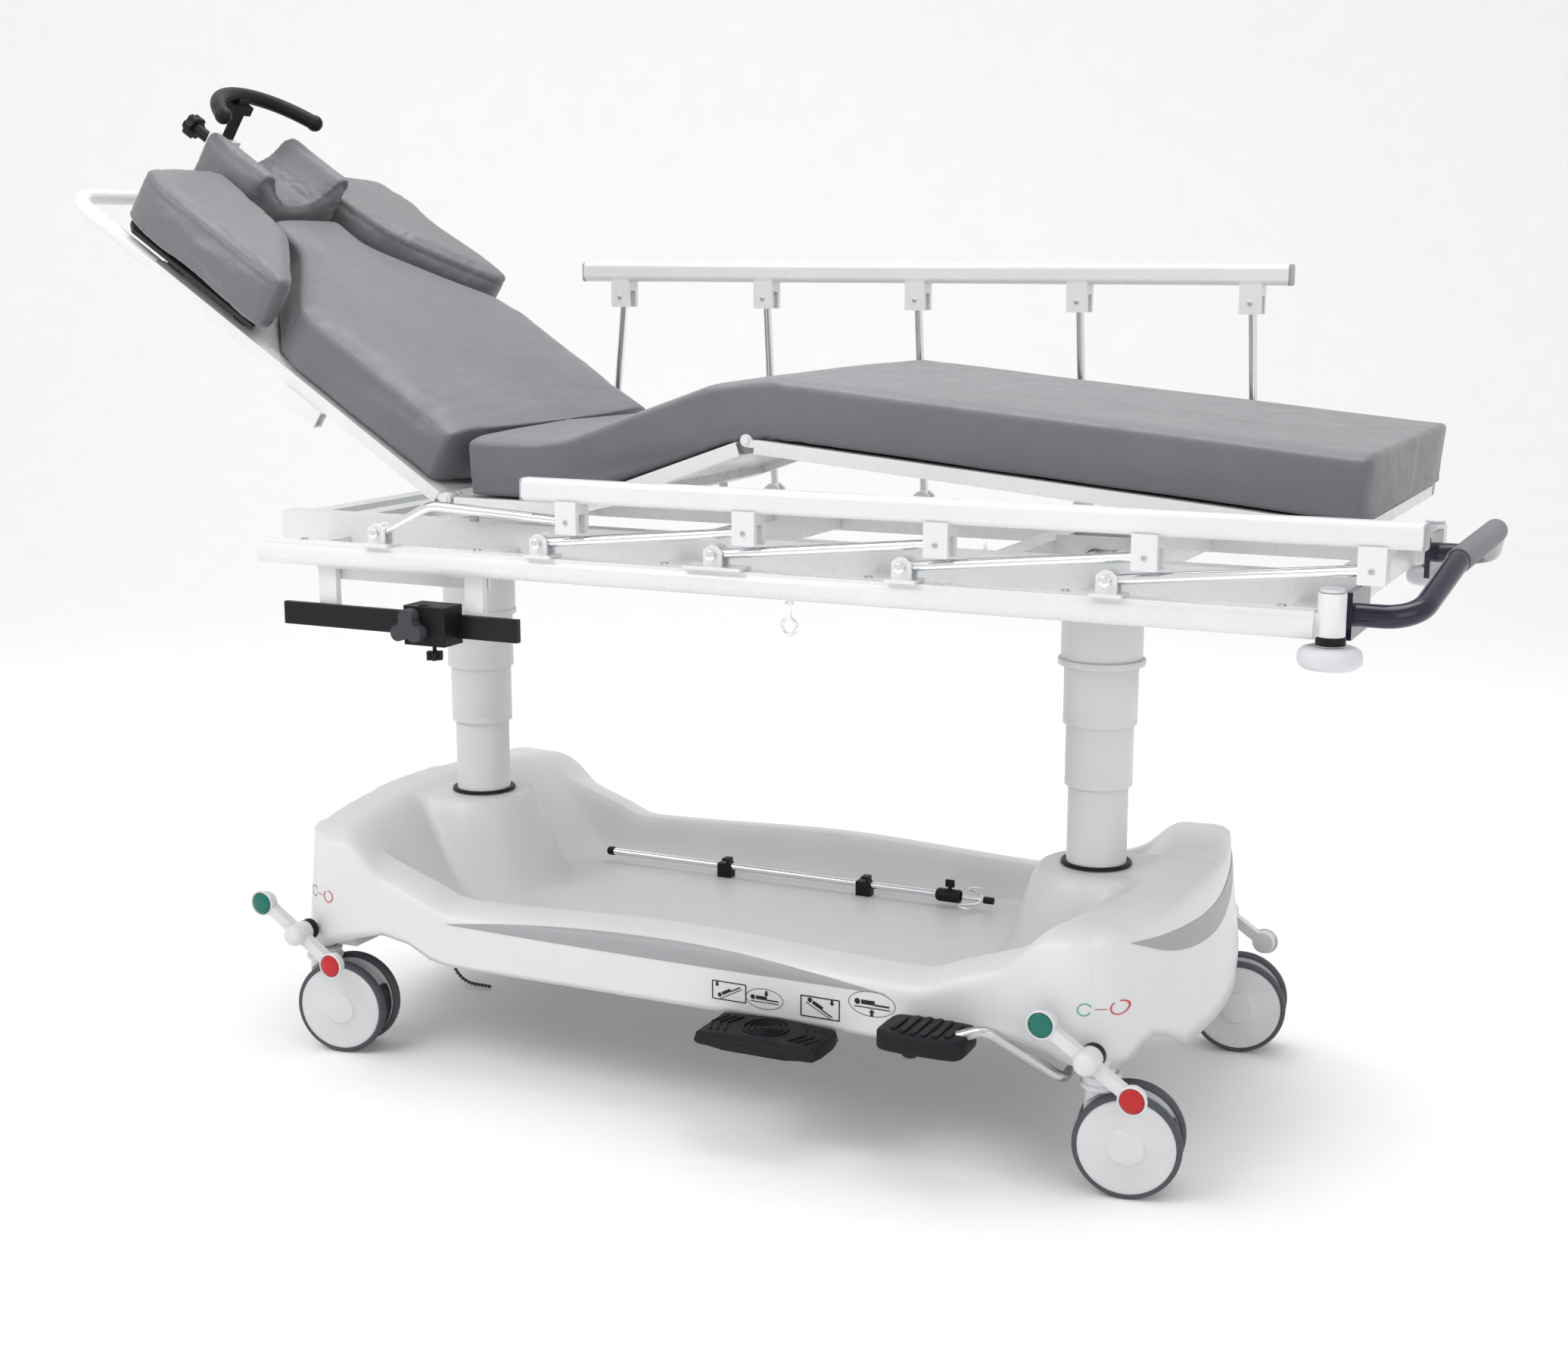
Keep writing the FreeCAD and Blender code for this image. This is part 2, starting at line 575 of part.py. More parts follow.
for end, x in (("head", "-column_x"), ("foot", "column_x")):
    for letter in "cb":
        node(stage(end, x, letter, f"stage_{letter}_bottom", f"stage_{letter}_top"),
             f"{end}_column_stage_{letter}")
head_bore = rod("head_yoke_bore", "pin_bore", 120, "-column_x", -60, "pin_z", "y")
node(cut("head_stage_a", column_head("head", "-column_x"), head_bore), "head_column_stage_a")
node(rod("trunnion_shape", "pin_radius", 126, 0, 0, 0, "y"), "tilt_trunnion", "-column_x", -63,
     "pin_z", ALONG["y"])
foot_pin = rod("foot_pin", "pin_radius", 126, "column_x", -63, "pin_z", "y")
node(fuse("foot_stage_a", column_head("foot", "column_x"), foot_pin), "foot_column_stage_a")


# ---------------------------------------------------------------- upper frame

def lug(name, x, y, slotted):
    """A plate that hangs on a column's pin; at the foot end its hole is a slot."""
    plate = box(name, 116, 8, 56, f"{x} - 58", y, "pin_z - 26")
    hole = rod(name + "_hole", "pin_bore + 3" if slotted else "pin_bore", 20, x, f"{y} - 6",
               "pin_z", "y")
    if not slotted:
        return cut(name + "_bored", plate, hole)
    far = rod(name + "_far", "pin_bore + 3", 20, f"{x} + slot_travel", f"{y} - 6", "pin_z", "y")
    mid = box(name + "_mid", "slot_travel", 20, "2 * pin_bore + 6", x, f"{y} - 6",
              "pin_z - pin_bore - 3")
    return cut(name + "_slotted", plate, fuse(name + "_slot", hole, far, mid))


def hinge_bosses(name, arm_x=0):
    """The bored knuckles of a section, on its own hinge axis at the local origin."""
    parts = []
    for side, y in (("near", "-deck_y - 11"), ("far", "deck_y - 11")):
        eye = rod(f"{name}_eye_{side}", "knuckle", 22, 0, y, 0, "y")
        arm = box(f"{name}_arm_{side}", 24, 22, 11, arm_x, y, -9)
        bore = rod(f"{name}_bore_{side}", "hinge_pin + 0.05", 30, 0, f"{y} - 4", 0, "y")
        parts.append(cut(f"{name}_knuckle_{side}", fuse(f"{name}_blank_{side}", eye, arm), bore))
    return parts


def hinge_pins(name, x, z, reach):
    """Lugs just inside the knuckles, each with the pin that they turn on."""
    parts = []
    inner = "deck_y - 24"
    for side, lug_y, pin_y in (("near", f"-({inner}) - 8", "-deck_y - 13"),
                               ("far", inner, inner)):
        parts.append(rod(f"{name}_lug_{side}", "knuckle", 8, x, lug_y, z, "y"))
        parts.append(box(f"{name}_lug_arm_{side}", 30, 8, 12, f"{x} + {reach}", lug_y,
                         f"{z} - 9"))
        parts.append(rod(f"{name}_pin_{side}", "hinge_pin", 37, x, pin_y, z, "y"))
    return parts


def deck(name, head, foot, level="0"):
    """Two side tubes, cross tubes and a board of one section, about its hinge's level."""
    parts = []
    for side, y in (("near", "-deck_y - deck_tube_width / 2"),
                    ("far", "deck_y - deck_tube_width / 2")):
        parts.append(hollow_beam(f"{name}_tube_{side}", f"{foot} - ({head})",
                                 "deck_tube_width", "deck_tube_height", head, y,
                                 f"{level} - 17", 2))
    for i, x in enumerate((head, f"{foot} - 30")):
        parts.append(box(f"{name}_cross_{i}", 30, "2 * deck_y - 20", 13, x, "10 - deck_y",
                         f"{level} - 17"))
    parts.append(box(f"{name}_board", f"{foot} - ({head})", "2 * deck_y - 26", "board", head,
                     "13 - deck_y", f"{level} - board"))
    return parts


def seat_deck():
    """The fixed section, with the pins that the back and the thigh sections turn on."""
    parts = deck("seat", "back_hinge_x + 16", "thigh_hinge_x - 16", "deck_z")
    return (parts + hinge_pins("back_hinge", "back_hinge_x", "deck_z", 0)
            + hinge_pins("thigh_hinge", "thigh_hinge_x", "deck_z", -30))


def upper_frame():
    """Two box beams, cross beams, the lugs over both columns and arms out to the side rails."""
    length = "beam_foot_x - beam_head_x"
    parts = [hollow_beam("beam_near", length, "beam_width", "beam_height", "beam_head_x",
                         "-beam_y - beam_width / 2", "beam_bottom"),
             hollow_beam("beam_far", length, "beam_width", "beam_height", "beam_head_x",
                         "beam_y - beam_width / 2", "beam_bottom")]
    crossings = ["beam_head_x + 6", "-column_x - 96", "-column_x + 58", "-20", "column_x - 96",
                 "column_x + 58", "beam_foot_x - 46"]
    for i, x in enumerate(crossings):
        parts.append(box(f"frame_cross_{i}", 38, "2 * beam_y", 40, x, "-beam_y",
                         "beam_bottom + 4"))
    for end, x, slotted in (("head", "-column_x", False), ("foot", "column_x", True)):
        parts.append(lug(f"{end}_lug_near", x, "-yoke_half_gap - yoke_thickness - 12", slotted))
        parts.append(lug(f"{end}_lug_far", x, "yoke_half_gap + yoke_thickness + 4", slotted))
    for i, x in enumerate((-640, -330, -20, 290, 600, 880)):
        for side, y in (("near", "-side_y"), ("far", "beam_y")):
            parts.append(box(f"arm_{i}_{side}", "arm_width", "side_y - beam_y", "arm_height", x, y,
                             "beam_bottom"))
    for side, y in (("near", "-beam_y - 4"), ("far", "beam_y - 4")):
        for end, x in (("back", "back_hinge_x + 14"), ("thigh", "thigh_hinge_x - 24")):
            parts.append(box(f"{end}_{side}_stand", 12, 8, "deck_z - 18 - beam_bottom - 40", x, y,
                             "beam_bottom + 41"))
    return node(fuse("upper_frame_shape", *parts, *seat_deck()), "upper_frame")


def side_beams():
    """Long side members with a rounded outer face, and a sleeve for each foot-corner buffer."""
    parts = []
    for side, sign in (("near", -1), ("far", 1)):
        inner, depth = size("side_y"), size("side_depth")
        low, high = size("side_bottom"), size("side_bottom") + size("side_height")
        face = inner + depth
        section = Part.Wire([
            Part.LineSegment(Vector(0, inner, low), Vector(0, face - 7, low)).toShape(),
            Part.Arc(Vector(0, face - 7, low), Vector(0, face, (low + high) / 2 - 2),
                     Vector(0, face - 5, high - 5)).toShape(),
            Part.LineSegment(Vector(0, face - 5, high - 5), Vector(0, face - 5, high)).toShape(),
            Part.LineSegment(Vector(0, face - 5, high), Vector(0, inner, high)).toShape(),
            Part.LineSegment(Vector(0, inner, high), Vector(0, inner, low)).toShape()])
        start, end = size("side_head_x"), size("side_foot_x")
        bar = prism(section, Vector(end - start, 0, 0))
        bar.translate(Vector(start, 0, 0))
        core = Part.makeBox(end - start - 12, depth - 14, high - low - 8,
                            Vector(start + 6, inner + 3, low + 4))
        hole_x = size("latch_x")
        hole = Part.makeCylinder(3.4, 80, Vector(hole_x, size("rail_y"), low - 20))
        sleeve = Part.makeCylinder(size("buffer_tube"), 66, Vector(size("buffer_x"),
                                                                   size("buffer_y"), 792))
        web = Part.makeBox(30, 20, 31, Vector(size("buffer_x") - 30, size("buffer_y") - 10, 802))
        sleeve = sleeve.fuse(web)
        bore = Part.makeCylinder(size("buffer_bolt") + 0.05, 90,
                                 Vector(size("buffer_x"), size("buffer_y"), 780))
        shape = bar.cut(core).fuse(sleeve).cut(hole).cut(bore).removeSplitter()
        if sign < 0:
            shape = shape.mirror(Vector(), Vector(0, 1, 0))
        parts.append(shaped(f"side_beam_{side}", shape))
    return node(fuse("side_beams_shape", *parts, *accessory_rail()), "side_beams")


def buffer(name, side):
    """A roller buffer: a rounded disc and the bolt that it turns on."""
    disc = Part.makeCylinder(size("buffer_disc"), size("buffer_disc_height"), Vector())
    disc = softened(disc, size("buffer_disc_height") * 0.42)
    bolt = Part.makeCylinder(size("buffer_bolt"), 91, Vector(0, 0, 4))
    cap = softened(Part.makeCylinder(15, 5, Vector(0, 0, 94.3)), 1.5)
    y = "-buffer_y" if side < 0 else "buffer_y"
    node(shaped(name + "_shape", disc.fuse([bolt, cap]).removeSplitter()), name, "buffer_x", y,
         "buffer_disc_z")


def push_bar():
    """Bent tube across the foot end, stepped up to a raised grip."""
    grip_x, grip_y, grip_z = size("push_grip_x"), size("push_grip_y"), size("push_grip_z")
    corner_x, y, z = size("push_corner_x"), size("push_y"), size("push_z")
    start = size("beam_foot_x")
    points = [Vector(start, -y, z), Vector(corner_x, -y, z), Vector(grip_x, -grip_y, grip_z),
              Vector(grip_x, grip_y, grip_z), Vector(corner_x, y, z), Vector(start, y, z)]
    bar = swept(points, size("push_tube"), 48, size("push_tube") - 2)
    shape = bar
    for side in (-1, 1):
        flange = Part.makeBox(8, 118, 60, Vector(start, side * 290 - 59, z - 28))
        shape = shape.fuse(flange)
    return node(shaped("push_bar_shape", shape.removeSplitter()), "foot_push_bar")


def accessory_rail():
    """Flat rail for clamps, and the bracket that hangs it under the near side beam."""
    bar = box("accessory_bar", "acc_foot_x - acc_head_x", "acc_thickness", "acc_height", 0, 0, 0)
    node(bar, "accessory_rail", "acc_head_x", "acc_y - acc_thickness / 2", "acc_bottom")
    back = "acc_y + acc_thickness / 2"
    top = "side_bottom - acc_bottom - acc_height"
    parts = [box("bracket_top", 300, 26, 6, "acc_head_x + 56", back, "side_bottom - 6"),
             box("bracket_stiffener", 300, 5, 20, "acc_head_x + 56", f"{back} + 15",
                 "side_bottom - 24")]
    for i, x in enumerate(("acc_head_x + 60", "acc_foot_x - 96")):
        parts.append(box(f"bracket_leg_{i}", 32, 12, f"{top} + acc_height", x, back,
                         "acc_bottom"))
    parts.append(box("bracket_shelf", 330, 5, 14, "acc_head_x + 30", back, "acc_bottom + 10"))
    return parts


def clamp():
    """Sliding clamp on the accessory rail, with its tri-lobe knob and thumb screw."""
    length, depth, height = size("clamp_length"), size("clamp_depth"), size("clamp_height")
    rail_t, rail_h, bottom = size("acc_thickness"), size("acc_height"), size("clamp_bottom")
    back = size("acc_y") + rail_t / 2
    front = back + 4 - depth
    block = Part.makeBox(length, depth, height, Vector(0, front, bottom))
    block = softened(block, 3, lambda e: abs(e.tangentAt(e.FirstParameter).z) > 0.99)
    slot = Part.makeBox(length + 2, rail_t + 0.7, rail_h + 0.8,
                        Vector(-1, back - rail_t - 0.35, size("acc_bottom") - 0.4))
    throat = Part.makeBox(length + 2, 20, rail_h - 12, Vector(-1, back - 1,
                                                              size("acc_bottom") + 6))
    bore = Part.makeCylinder(size("clamp_bore"), height + 2,
                             Vector(length * 0.42, front + 11, bottom - 1))
    screw_hole = Part.makeCylinder(3.3, 14, Vector(length * 0.65, front + 11, bottom - 1))
    stud = Part.makeCylinder(4.1, 14, Vector(18, front - 1, bottom + 28), Vector(0, 1, 0))
    shape = block.cut(slot).cut(throat).cut(bore).cut(stud).cut(screw_hole)
    node(shaped("clamp_shape", shape), "rail_clamp", "clamp_x")
    lobes = Part.makeCylinder(15, 20, Vector())
    for i in range(3):
        angle = math.radians(90 + 120 * i)
        lobes = lobes.fuse(Part.makeCylinder(12, 20, Vector(16 * math.cos(angle),
                                                            16 * math.sin(angle), 0)))
    knob = lobes.removeSplitter().fuse(Part.makeCylinder(4, 12, Vector(0, 0, -12)))
    knob.rotate(Vector(), Vector(1, 0, 0), 90)
    knob.translate(Vector(18, front - 1.5, bottom + 28))
    node(shaped("clamp_knob_shape", knob.removeSplitter()), "clamp_knob", "clamp_x")
    screw = Part.makeCylinder(3, 16, Vector(0, 0, -8))
    for i in range(6):
        angle = math.radians(60 * i)
        screw = screw.fuse(Part.makeCylinder(4, 12, Vector(9 * math.cos(angle),
                                                           9 * math.sin(angle), -20)))
    screw = screw.fuse(Part.makeCylinder(9, 12, Vector(0, 0, -20))).removeSplitter()
    screw.translate(Vector(length * 0.65, front + 11, bottom - 1))
    node(shaped("clamp_screw_shape", screw), "clamp_screw", "clamp_x")


upper_frame()
side_beams()
buffer("buffer_near", -1)
buffer("buffer_far", 1)
push_bar()
clamp()


# ---------------------------------------------------------------- sections of the lying surface

def foam(name, profile, length="2 * pad_half_width"):
    """A pad whose side profile runs across the trolley, notched round its hinge knuckles."""
    body = padded(name, "XZ_Plane", profile, length)
    return at(body, 0, "pad_half_width", 0, body.Placement.Rotation)


def notches(name, *places):
    return [rod(f"{name}_notch_{i}", "notch", "2 * pad_half_width + 20", x, "-pad_half_width - 10",
                z, "y") for i, (x, z) in enumerate(places)]


def seat_pad():
    low, high = "deck_z + pad_bottom", "deck_z + pad_top"
    lean = [f"back_hinge_x + 0.5 + {h} * tan(back_wedge)" for h in ("pad_bottom", "pad_top")]
    away = [f"thigh_hinge_x - 0.5 - {h} * tan(thigh_wedge)" for h in ("pad_bottom", "pad_top")]
    profile = [(lean[0], low), (away[0], low), (away[1], high), (lean[1], high)]
    tools = notches("seat", ("back_hinge_x", "deck_z"), ("thigh_hinge_x", "deck_z"))
    node(cut("seat_pad_shape", foam("seat_pad", profile), *tools), "mattress_seat")


def turned(angle):
    return Rotation(Vector(0, 1, 0), angle)


def section(obj, label, x, z, angle):
    """Places a section's sub-part on its hinge, at the section's rest angle."""
    return node(obj, label, x, 0, z, turned(angle))


def back_section():
    angle = size("back_angle")
    here = ("back_hinge_x", "deck_z", angle)
    parts = deck("back", "-back_tube_length", -14) + hinge_bosses("back", -24)
    for side, y in (("near", -305), ("far", 285)):
        parts.append(hollow_beam(f"receiver_{side}", 80, 20, 28, -330, y, -45, 3))
    parts.append(box("head_spine", 216, 60, 14, -846, -30, -17))
    parts.append(box("head_post", 34, 44, 142, -846, -22, -17))
    parts.append(box("cushion_plate", 140, 200, 8, -780, -100, 10))
    for i, x in enumerate((-760, -680)):
        parts.append(box(f"cushion_stand_{i}", 20, 40, 14, x, -20, -4))
    reach, radius, y = size("handle_reach"), size("handle_tube"), size("deck_y")
    start = size("back_tube_length")
    loop = swept([Vector(-start, -y, -7), Vector(-reach, -y, -7), Vector(-reach, y, -7),
                  Vector(-start, y, -7)], radius, 45, radius - 2)
    parts.append(shaped("handle_loop", loop))
    slot = box("strip_slot", "strip_thickness + 0.4", "strip_width + 0.6", 170,
               "-strip_s - strip_thickness / 2 - 0.2", "-strip_width / 2 - 0.3", -12)
    screw_hole = rod("strip_screw_hole", 4.3, 30, "-strip_s - strip_thickness / 2 - 25", 0, 105,
                     "x")
    section(cut("back_frame_shape", fuse("back_frame_blank", *parts), slot, screw_hole),
            "back_frame", *here)
    pad = [("-0.5 - pad_bottom * tan(back_wedge)", "pad_bottom"),
           ("-back_pad_length", "pad_bottom"), ("-back_pad_length", "pad_top"),
           ("-0.5 - pad_top * tan(back_wedge)", "pad_top")]
    body = foam("back_pad", pad)
    sides = []
    for side, sign in (("near", -1), ("far", 1)):
        taper = prism(outline([(-336, sign * 340), (-336, sign * size("pad_half_width")),
                               (-558, sign * size("neck_half_width")),
                               (-640, sign * size("neck_half_width")), (-640, sign * 340)]),
                      Vector(0, 0, 140))
        sides.append(shaped(f"back_taper_{side}", taper))
    section(cut("back_pad_shape", body, *sides, *notches("back", (0, 0))), "mattress_back", *here)
    boards, wings = [], []
    bean = [(395, 280), (395, 315), (405, 327), (478, 330), (573, 324), (653, 332), (701, 315),
            (727, 300), (733, 182), (727, 124), (700, 119), (640, 123), (585, 131), (530, 149),
            (478, 200), (427, 256)]
    for side, sign in (("near", -1), ("far", 1)):
        edge = outline([(-s, sign * y) for s, y in bean])
        wing = prism(edge, Vector(0, 0, size("cushion_top") - size("cushion_bottom")))
        wing.translate(Vector(0, 0, size("cushion_bottom")))
        wings.append(shaped(f"side_cushion_{side}", wing))
        plank = outline([(-430, sign * 284), (-420, sign * 312), (-690, sign * 312),
                         (-716, sign * 290), (-716, sign * 140), (-600, sign * 146),
                         (-540, sign * 172)])
        board = prism(plank, Vector(0, 0, 7))
        board.translate(Vector(0, 0, 22.5))
        boards.append(shaped(f"side_board_{side}", board))
        for i, s in enumerate((470, 620)):
            low = -278 if side == "near" else 250
            boards.append(box(f"side_spacer_{side}_{i}", 24, 28, 19.5, -s - 12, low, 3))
    section(fuse("side_boards_shape", *boards), "side_boards", *here)
    crown = [("-120", 20), ("120", 20), ("120", "ear_top - 12"), ("108", "ear_top"),
             ("84", "ear_top"), ("66", 142), ("34", 117), ("-34", 117), ("-66", 142),
             ("-84", "ear_top"), ("-108", "ear_top"), ("-120", "ear_top - 12")]
    crown_body = padded("headrest_pad", "YZ_Plane", crown, "headrest_end - headrest_start")
    at(crown_body, "-headrest_end", 0, 0, crown_body.Placement.Rotation)
    section(group("head_cushions_shape", *wings, crown_body), "head_cushions", *here)
    wrist_rest(here)


def wrist_rest(here):
    """Horseshoe rest on a strip that slides in the head post, and the knob that locks it."""
    centre, radius, level = size("wrist_centre"), size("wrist_radius"), size("wrist_level")
    tube_radius = size("wrist_tube")
    spread = math.radians(65.4)
    ends = [Vector(-centre - radius * math.cos(a), radius * math.sin(a), level)
            for a in (-spread, 0, spread)]
    arc = Part.Wire(Part.Arc(*ends).toShape())
    along = arc.Edges[0].tangentAt(arc.Edges[0].FirstParameter)
    horseshoe = arc.makePipeShell([Part.Wire(Part.makeCircle(tube_radius, ends[0], along))],
                                  True, False)
    for end in (ends[0], ends[2]):
        horseshoe = horseshoe.fuse(Part.makeSphere(tube_radius + 1.5, end))
    strip_s, width, thick = size("strip_s"), size("strip_width"), size("strip_thickness")
    strip = Part.makeBox(thick, width, 165, Vector(-strip_s - thick / 2, -width / 2, 35))
    block = Part.makeBox(30, 44, 16, Vector(-strip_s - 22, -22, level - 26))
    shape = horseshoe.fuse([strip, block]).removeSplitter()
    section(shaped("wrist_rest_shape", shape), "wrist_rest", *here)
    knob = Part.makeCylinder(20, 16, Vector(-904, 0, 105), Vector(1, 0, 0))
    for i in range(6):
        angle = math.radians(60 * i + 30)
        flute = Part.makeCylinder(7, 16, Vector(-904, 24 * math.cos(angle),
                                                105 + 24 * math.sin(angle)), Vector(1, 0, 0))
        knob = knob.cut(flute)
    boss = Part.makeCylinder(10, 36, Vector(-888, 0, 105), Vector(1, 0, 0))
    stud = Part.makeCylinder(4.2, 40, Vector(-868, 0, 105), Vector(1, 0, 0))
    shape = knob.fuse([boss, stud]).removeSplitter()
    section(shaped("wrist_knob_shape", shape), "wrist_knob", *here)


def leg_sections():
    """Thigh section on the seat's pins, and leg section on the thigh's."""
    rise = size("thigh_angle")
    here = ("thigh_hinge_x", "deck_z", -rise)
    parts = deck("thigh", 14, "thigh_length - 16") + hinge_bosses("thigh")
    parts += hinge_pins("knee", "thigh_length", 0, -30)
    section(fuse("thigh_frame_shape", *parts), "thigh_frame", *here)
    pad = [("0.5 + pad_bottom * tan(thigh_wedge)", "pad_bottom"),
           ("thigh_length - 0.7", "pad_bottom"), ("thigh_length - 0.7", "pad_top"),
           ("0.5 + pad_top * tan(thigh_wedge)", "pad_top")]
    tools = notches("thigh", (0, 0), ("thigh_length", 0))
    section(cut("thigh_pad_shape", foam("thigh_pad", pad), *tools), "mattress_thigh", *here)
    knee = ("thigh_hinge_x + thigh_length * cos(thigh_angle)",
            "deck_z + thigh_length * sin(thigh_angle)", -size("leg_angle"))
    parts = deck("leg", 14, "leg_length - 4") + hinge_bosses("leg")
    section(fuse("leg_frame_shape", *parts), "leg_frame", *knee)
    pad = [("0.7", "pad_bottom"), ("leg_length", "pad_bottom"), ("leg_length", "pad_top"),
           ("0.7", "pad_top")]
    section(cut("leg_pad_shape", foam("leg_pad", pad), *notches("leg", (0, 0))), "mattress_leg",
            *knee)


seat_pad()
back_section()
leg_sections()


# ---------------------------------------------------------------- side rails

def post_brackets():
    """A U bracket for the foot of each post, on both side beams."""
    parts = []
    for side, sign in (("near", -1), ("far", 1)):
        y0 = size("rail_y") * sign
        for i in range(5):
            wide = 45 if i == 2 else 22
            x = size("pivot_x") + i * size("pivot_pitch")
            gap, pivot = size("cheek_gap"), size("pivot_z")
            plate = Part.makeBox(2 * wide, 38, 5, Vector(x - wide, y0 - 19, 835))
            shape = plate
            for face in (-1, 1):
                low = y0 + (gap if face > 0 else -gap - 5)
                cheek = Part.makeBox(28, 5, 26, Vector(x - 14, low, 838))
                crown = Part.makeCylinder(14, 5, Vector(x, low, pivot), Vector(0, 1, 0))
                shape = shape.fuse([cheek, crown])
            bore = Part.makeCylinder(size("post_pin") + 0.05, 60, Vector(x, y0 - 30, pivot),
                                     Vector(0, 1, 0))
            shape = shape.removeSplitter().cut(bore)
            parts.append(shaped(f"bracket_{side}_{i}", shape))
    return node(group("post_brackets_shape", *parts), "post_brackets")


def post(side, index):
    """One swinging post, in its own frame: pivot at the origin, rail pin up +Z."""
    length, radius, eye = size("post_length"), size("post_radius"), size("post_eye")
    width, pin = 2 * size("cheek_gap") - 0.6, size("post_pin")
    across = Vector(0, 1, 0)
    if index == 0:
        run = [Vector(0, 0, 4), Vector(-size("crank_out"), 0, size("crank_along")),
               Vector(0, 0, length - 4)]
        bar = swept(run, radius, 60)
    else:
        bar = Part.makeCylinder(radius, length, Vector())
    shape = bar
    for z in (0, length):
        shape = shape.fuse(Part.makeCylinder(eye, width, Vector(0, -width / 2, z), across))
    foot_pin = Part.makeCylinder(pin, 27, Vector(0, -13.5, 0), across)
    top_pin = Part.makeCylinder(pin, 27.4, Vector(0, -13.7, length), across)
    shape = shape.fuse([foot_pin, top_pin]).removeSplitter()
    angle = size("raised_angle") if side == "far" else size("folded_angle")
    y = "rail_y" if side == "far" else "-rail_y"
    return node(shaped(f"{side}_post_{index}_shape", shape), f"{side}_post_{index + 1}",
                f"pivot_x + {index} * pivot_pitch", y, "pivot_z", turned(90 - angle))


def side_rail(side):
    """Top rail with the five sockets that the posts' top pins turn in."""
    pitch, low, height = size("pivot_pitch"), size("rail_low"), size("rail_height")
    width, head, foot = size("rail_width"), size("rail_head"), size("rail_foot")
    total = 4 * pitch + head + foot
    bar = Part.makeBox(total, width, height, Vector(-head, -width / 2, low))
    bar = softened(bar, 9, lambda e: abs(e.tangentAt(e.FirstParameter).x) > 0.99)
    wall = size("rail_wall")
    core = Part.makeBox(total + 2, width - 2 * wall, height - 2 * wall,
                        Vector(-head - 1, wall - width / 2, low + wall))
    shape = bar.cut(softened(core, 6, lambda e: abs(e.tangentAt(e.FirstParameter).x) > 0.99))
    gap, tall, deep = size("cheek_gap"), size("socket_width"), size("socket_depth")
    for i in range(5):
        block = Part.makeBox(tall, deep, low + 17 + wall, Vector(i * pitch - tall / 2, -deep / 2, -17))
        slot = Part.makeBox(tall + 20, 2 * gap, 40, Vector(i * pitch - tall / 2 - 20, -gap, -29))
        clearance = 0.05 if i == 0 else 0.3
        bore = Part.makeCylinder(size("post_pin") + clearance, 29, Vector(i * pitch, -14.5, 0),
                                 Vector(0, 1, 0))
        shape = shape.fuse(block.cut(slot).cut(bore))
    shape = shape.removeSplitter()
    angle = math.radians(size("raised_angle") if side == "far" else size("folded_angle"))
    x = f"pivot_x + {size('post_length') * math.cos(angle)}"
    z = f"pivot_z + {size('post_length') * math.sin(angle)}"
    return node(shaped(f"{side}_rail_shape", shape), f"{side}_rail", x,
                "rail_y" if side == "far" else "-rail_y", z)


def latch_pull(side):
    """Spring-loaded rod through the side beam, with the ring that pulls it down."""
    rod_shape = Part.makeCylinder(3, 58, Vector(0, 0, -22))
    ring = Part.makeTorus(11, 2.2, Vector(0, 0, -33), Vector(0, 1, 0))
    shape = rod_shape.fuse([ring, Part.makeCylinder(6, 5, Vector(0, 0, -4))]).removeSplitter()
    y = "rail_y" if side == "far" else "-rail_y"
    return node(shaped(f"{side}_latch_shape", shape), f"{side}_latch_pull",
                "latch_x", y, "side_bottom - 4")


post_brackets()
for side in ("near", "far"):
    for index in range(5):
        post(side, index)
    side_rail(side)
    latch_pull(side)


# ---------------------------------------------------------------- foot pedals

def rocker_pedal():
    """Rocking plate on a cross pin that comes out of the chassis."""
    length, width = size("rocker_length"), size("rocker_width")
    rim = [(-length / 2, -8), (-length / 4, -14), (length / 4, -14), (length / 2, -8),
           (length / 2 - 6, 9), (0, 14), (6 - length / 2, 9)]
    plate = prism(outline(rim), Vector(0, 0, width))
    plate.rotate(Vector(), Vector(1, 0, 0), 90)
    plate.translate(Vector(0, width / 2, 0))
    plate = softened(plate, 4, lambda e: abs(e.tangentAt(e.FirstParameter).y) > 0.9)
    reach = -204 - size("rocker_y")
    bar = Part.makeCylinder(6, reach - width / 2 + 10, Vector(0, width / 2 - 10, 0),
                            Vector(0, 1, 0))
    shape = plate.fuse(bar).removeSplitter()
    return node(shaped("rocker_shape", shape), "rocker_pedal", "rocker_x", "rocker_y", "rocker_z")


def pump_pedal():
    """Ribbed pad on a bent rod that turns in the chassis."""
    x, y, z = size("pump_x"), size("pump_y"), size("pump_z")
    pivot_x, pivot_z, radius = size("pump_pivot_x"), size("pump_pivot_z"), size("pump_rod")
    pad = Part.makeBox(110, 74, 24, Vector(x - 50, y - 34, z - 12))
    pad = softened(pad, 9)
    rod_path = [Vector(x + 40, y, z + 4), Vector(x + 90, y, z + 24),
                Vector(pivot_x, y + 57, pivot_z), Vector(pivot_x, -219.5, pivot_z)]
    bar = swept(rod_path, radius, 22)
    shape = pad.fuse(bar).removeSplitter()
    shape.translate(Vector(-pivot_x, 0, -pivot_z))
    return node(shaped("pump_shape", shape), "pump_pedal", "pump_pivot_x", 0, "pump_pivot_z")


rocker_pedal()
pump_pedal()


# ---------------------------------------------------------------- checks and export

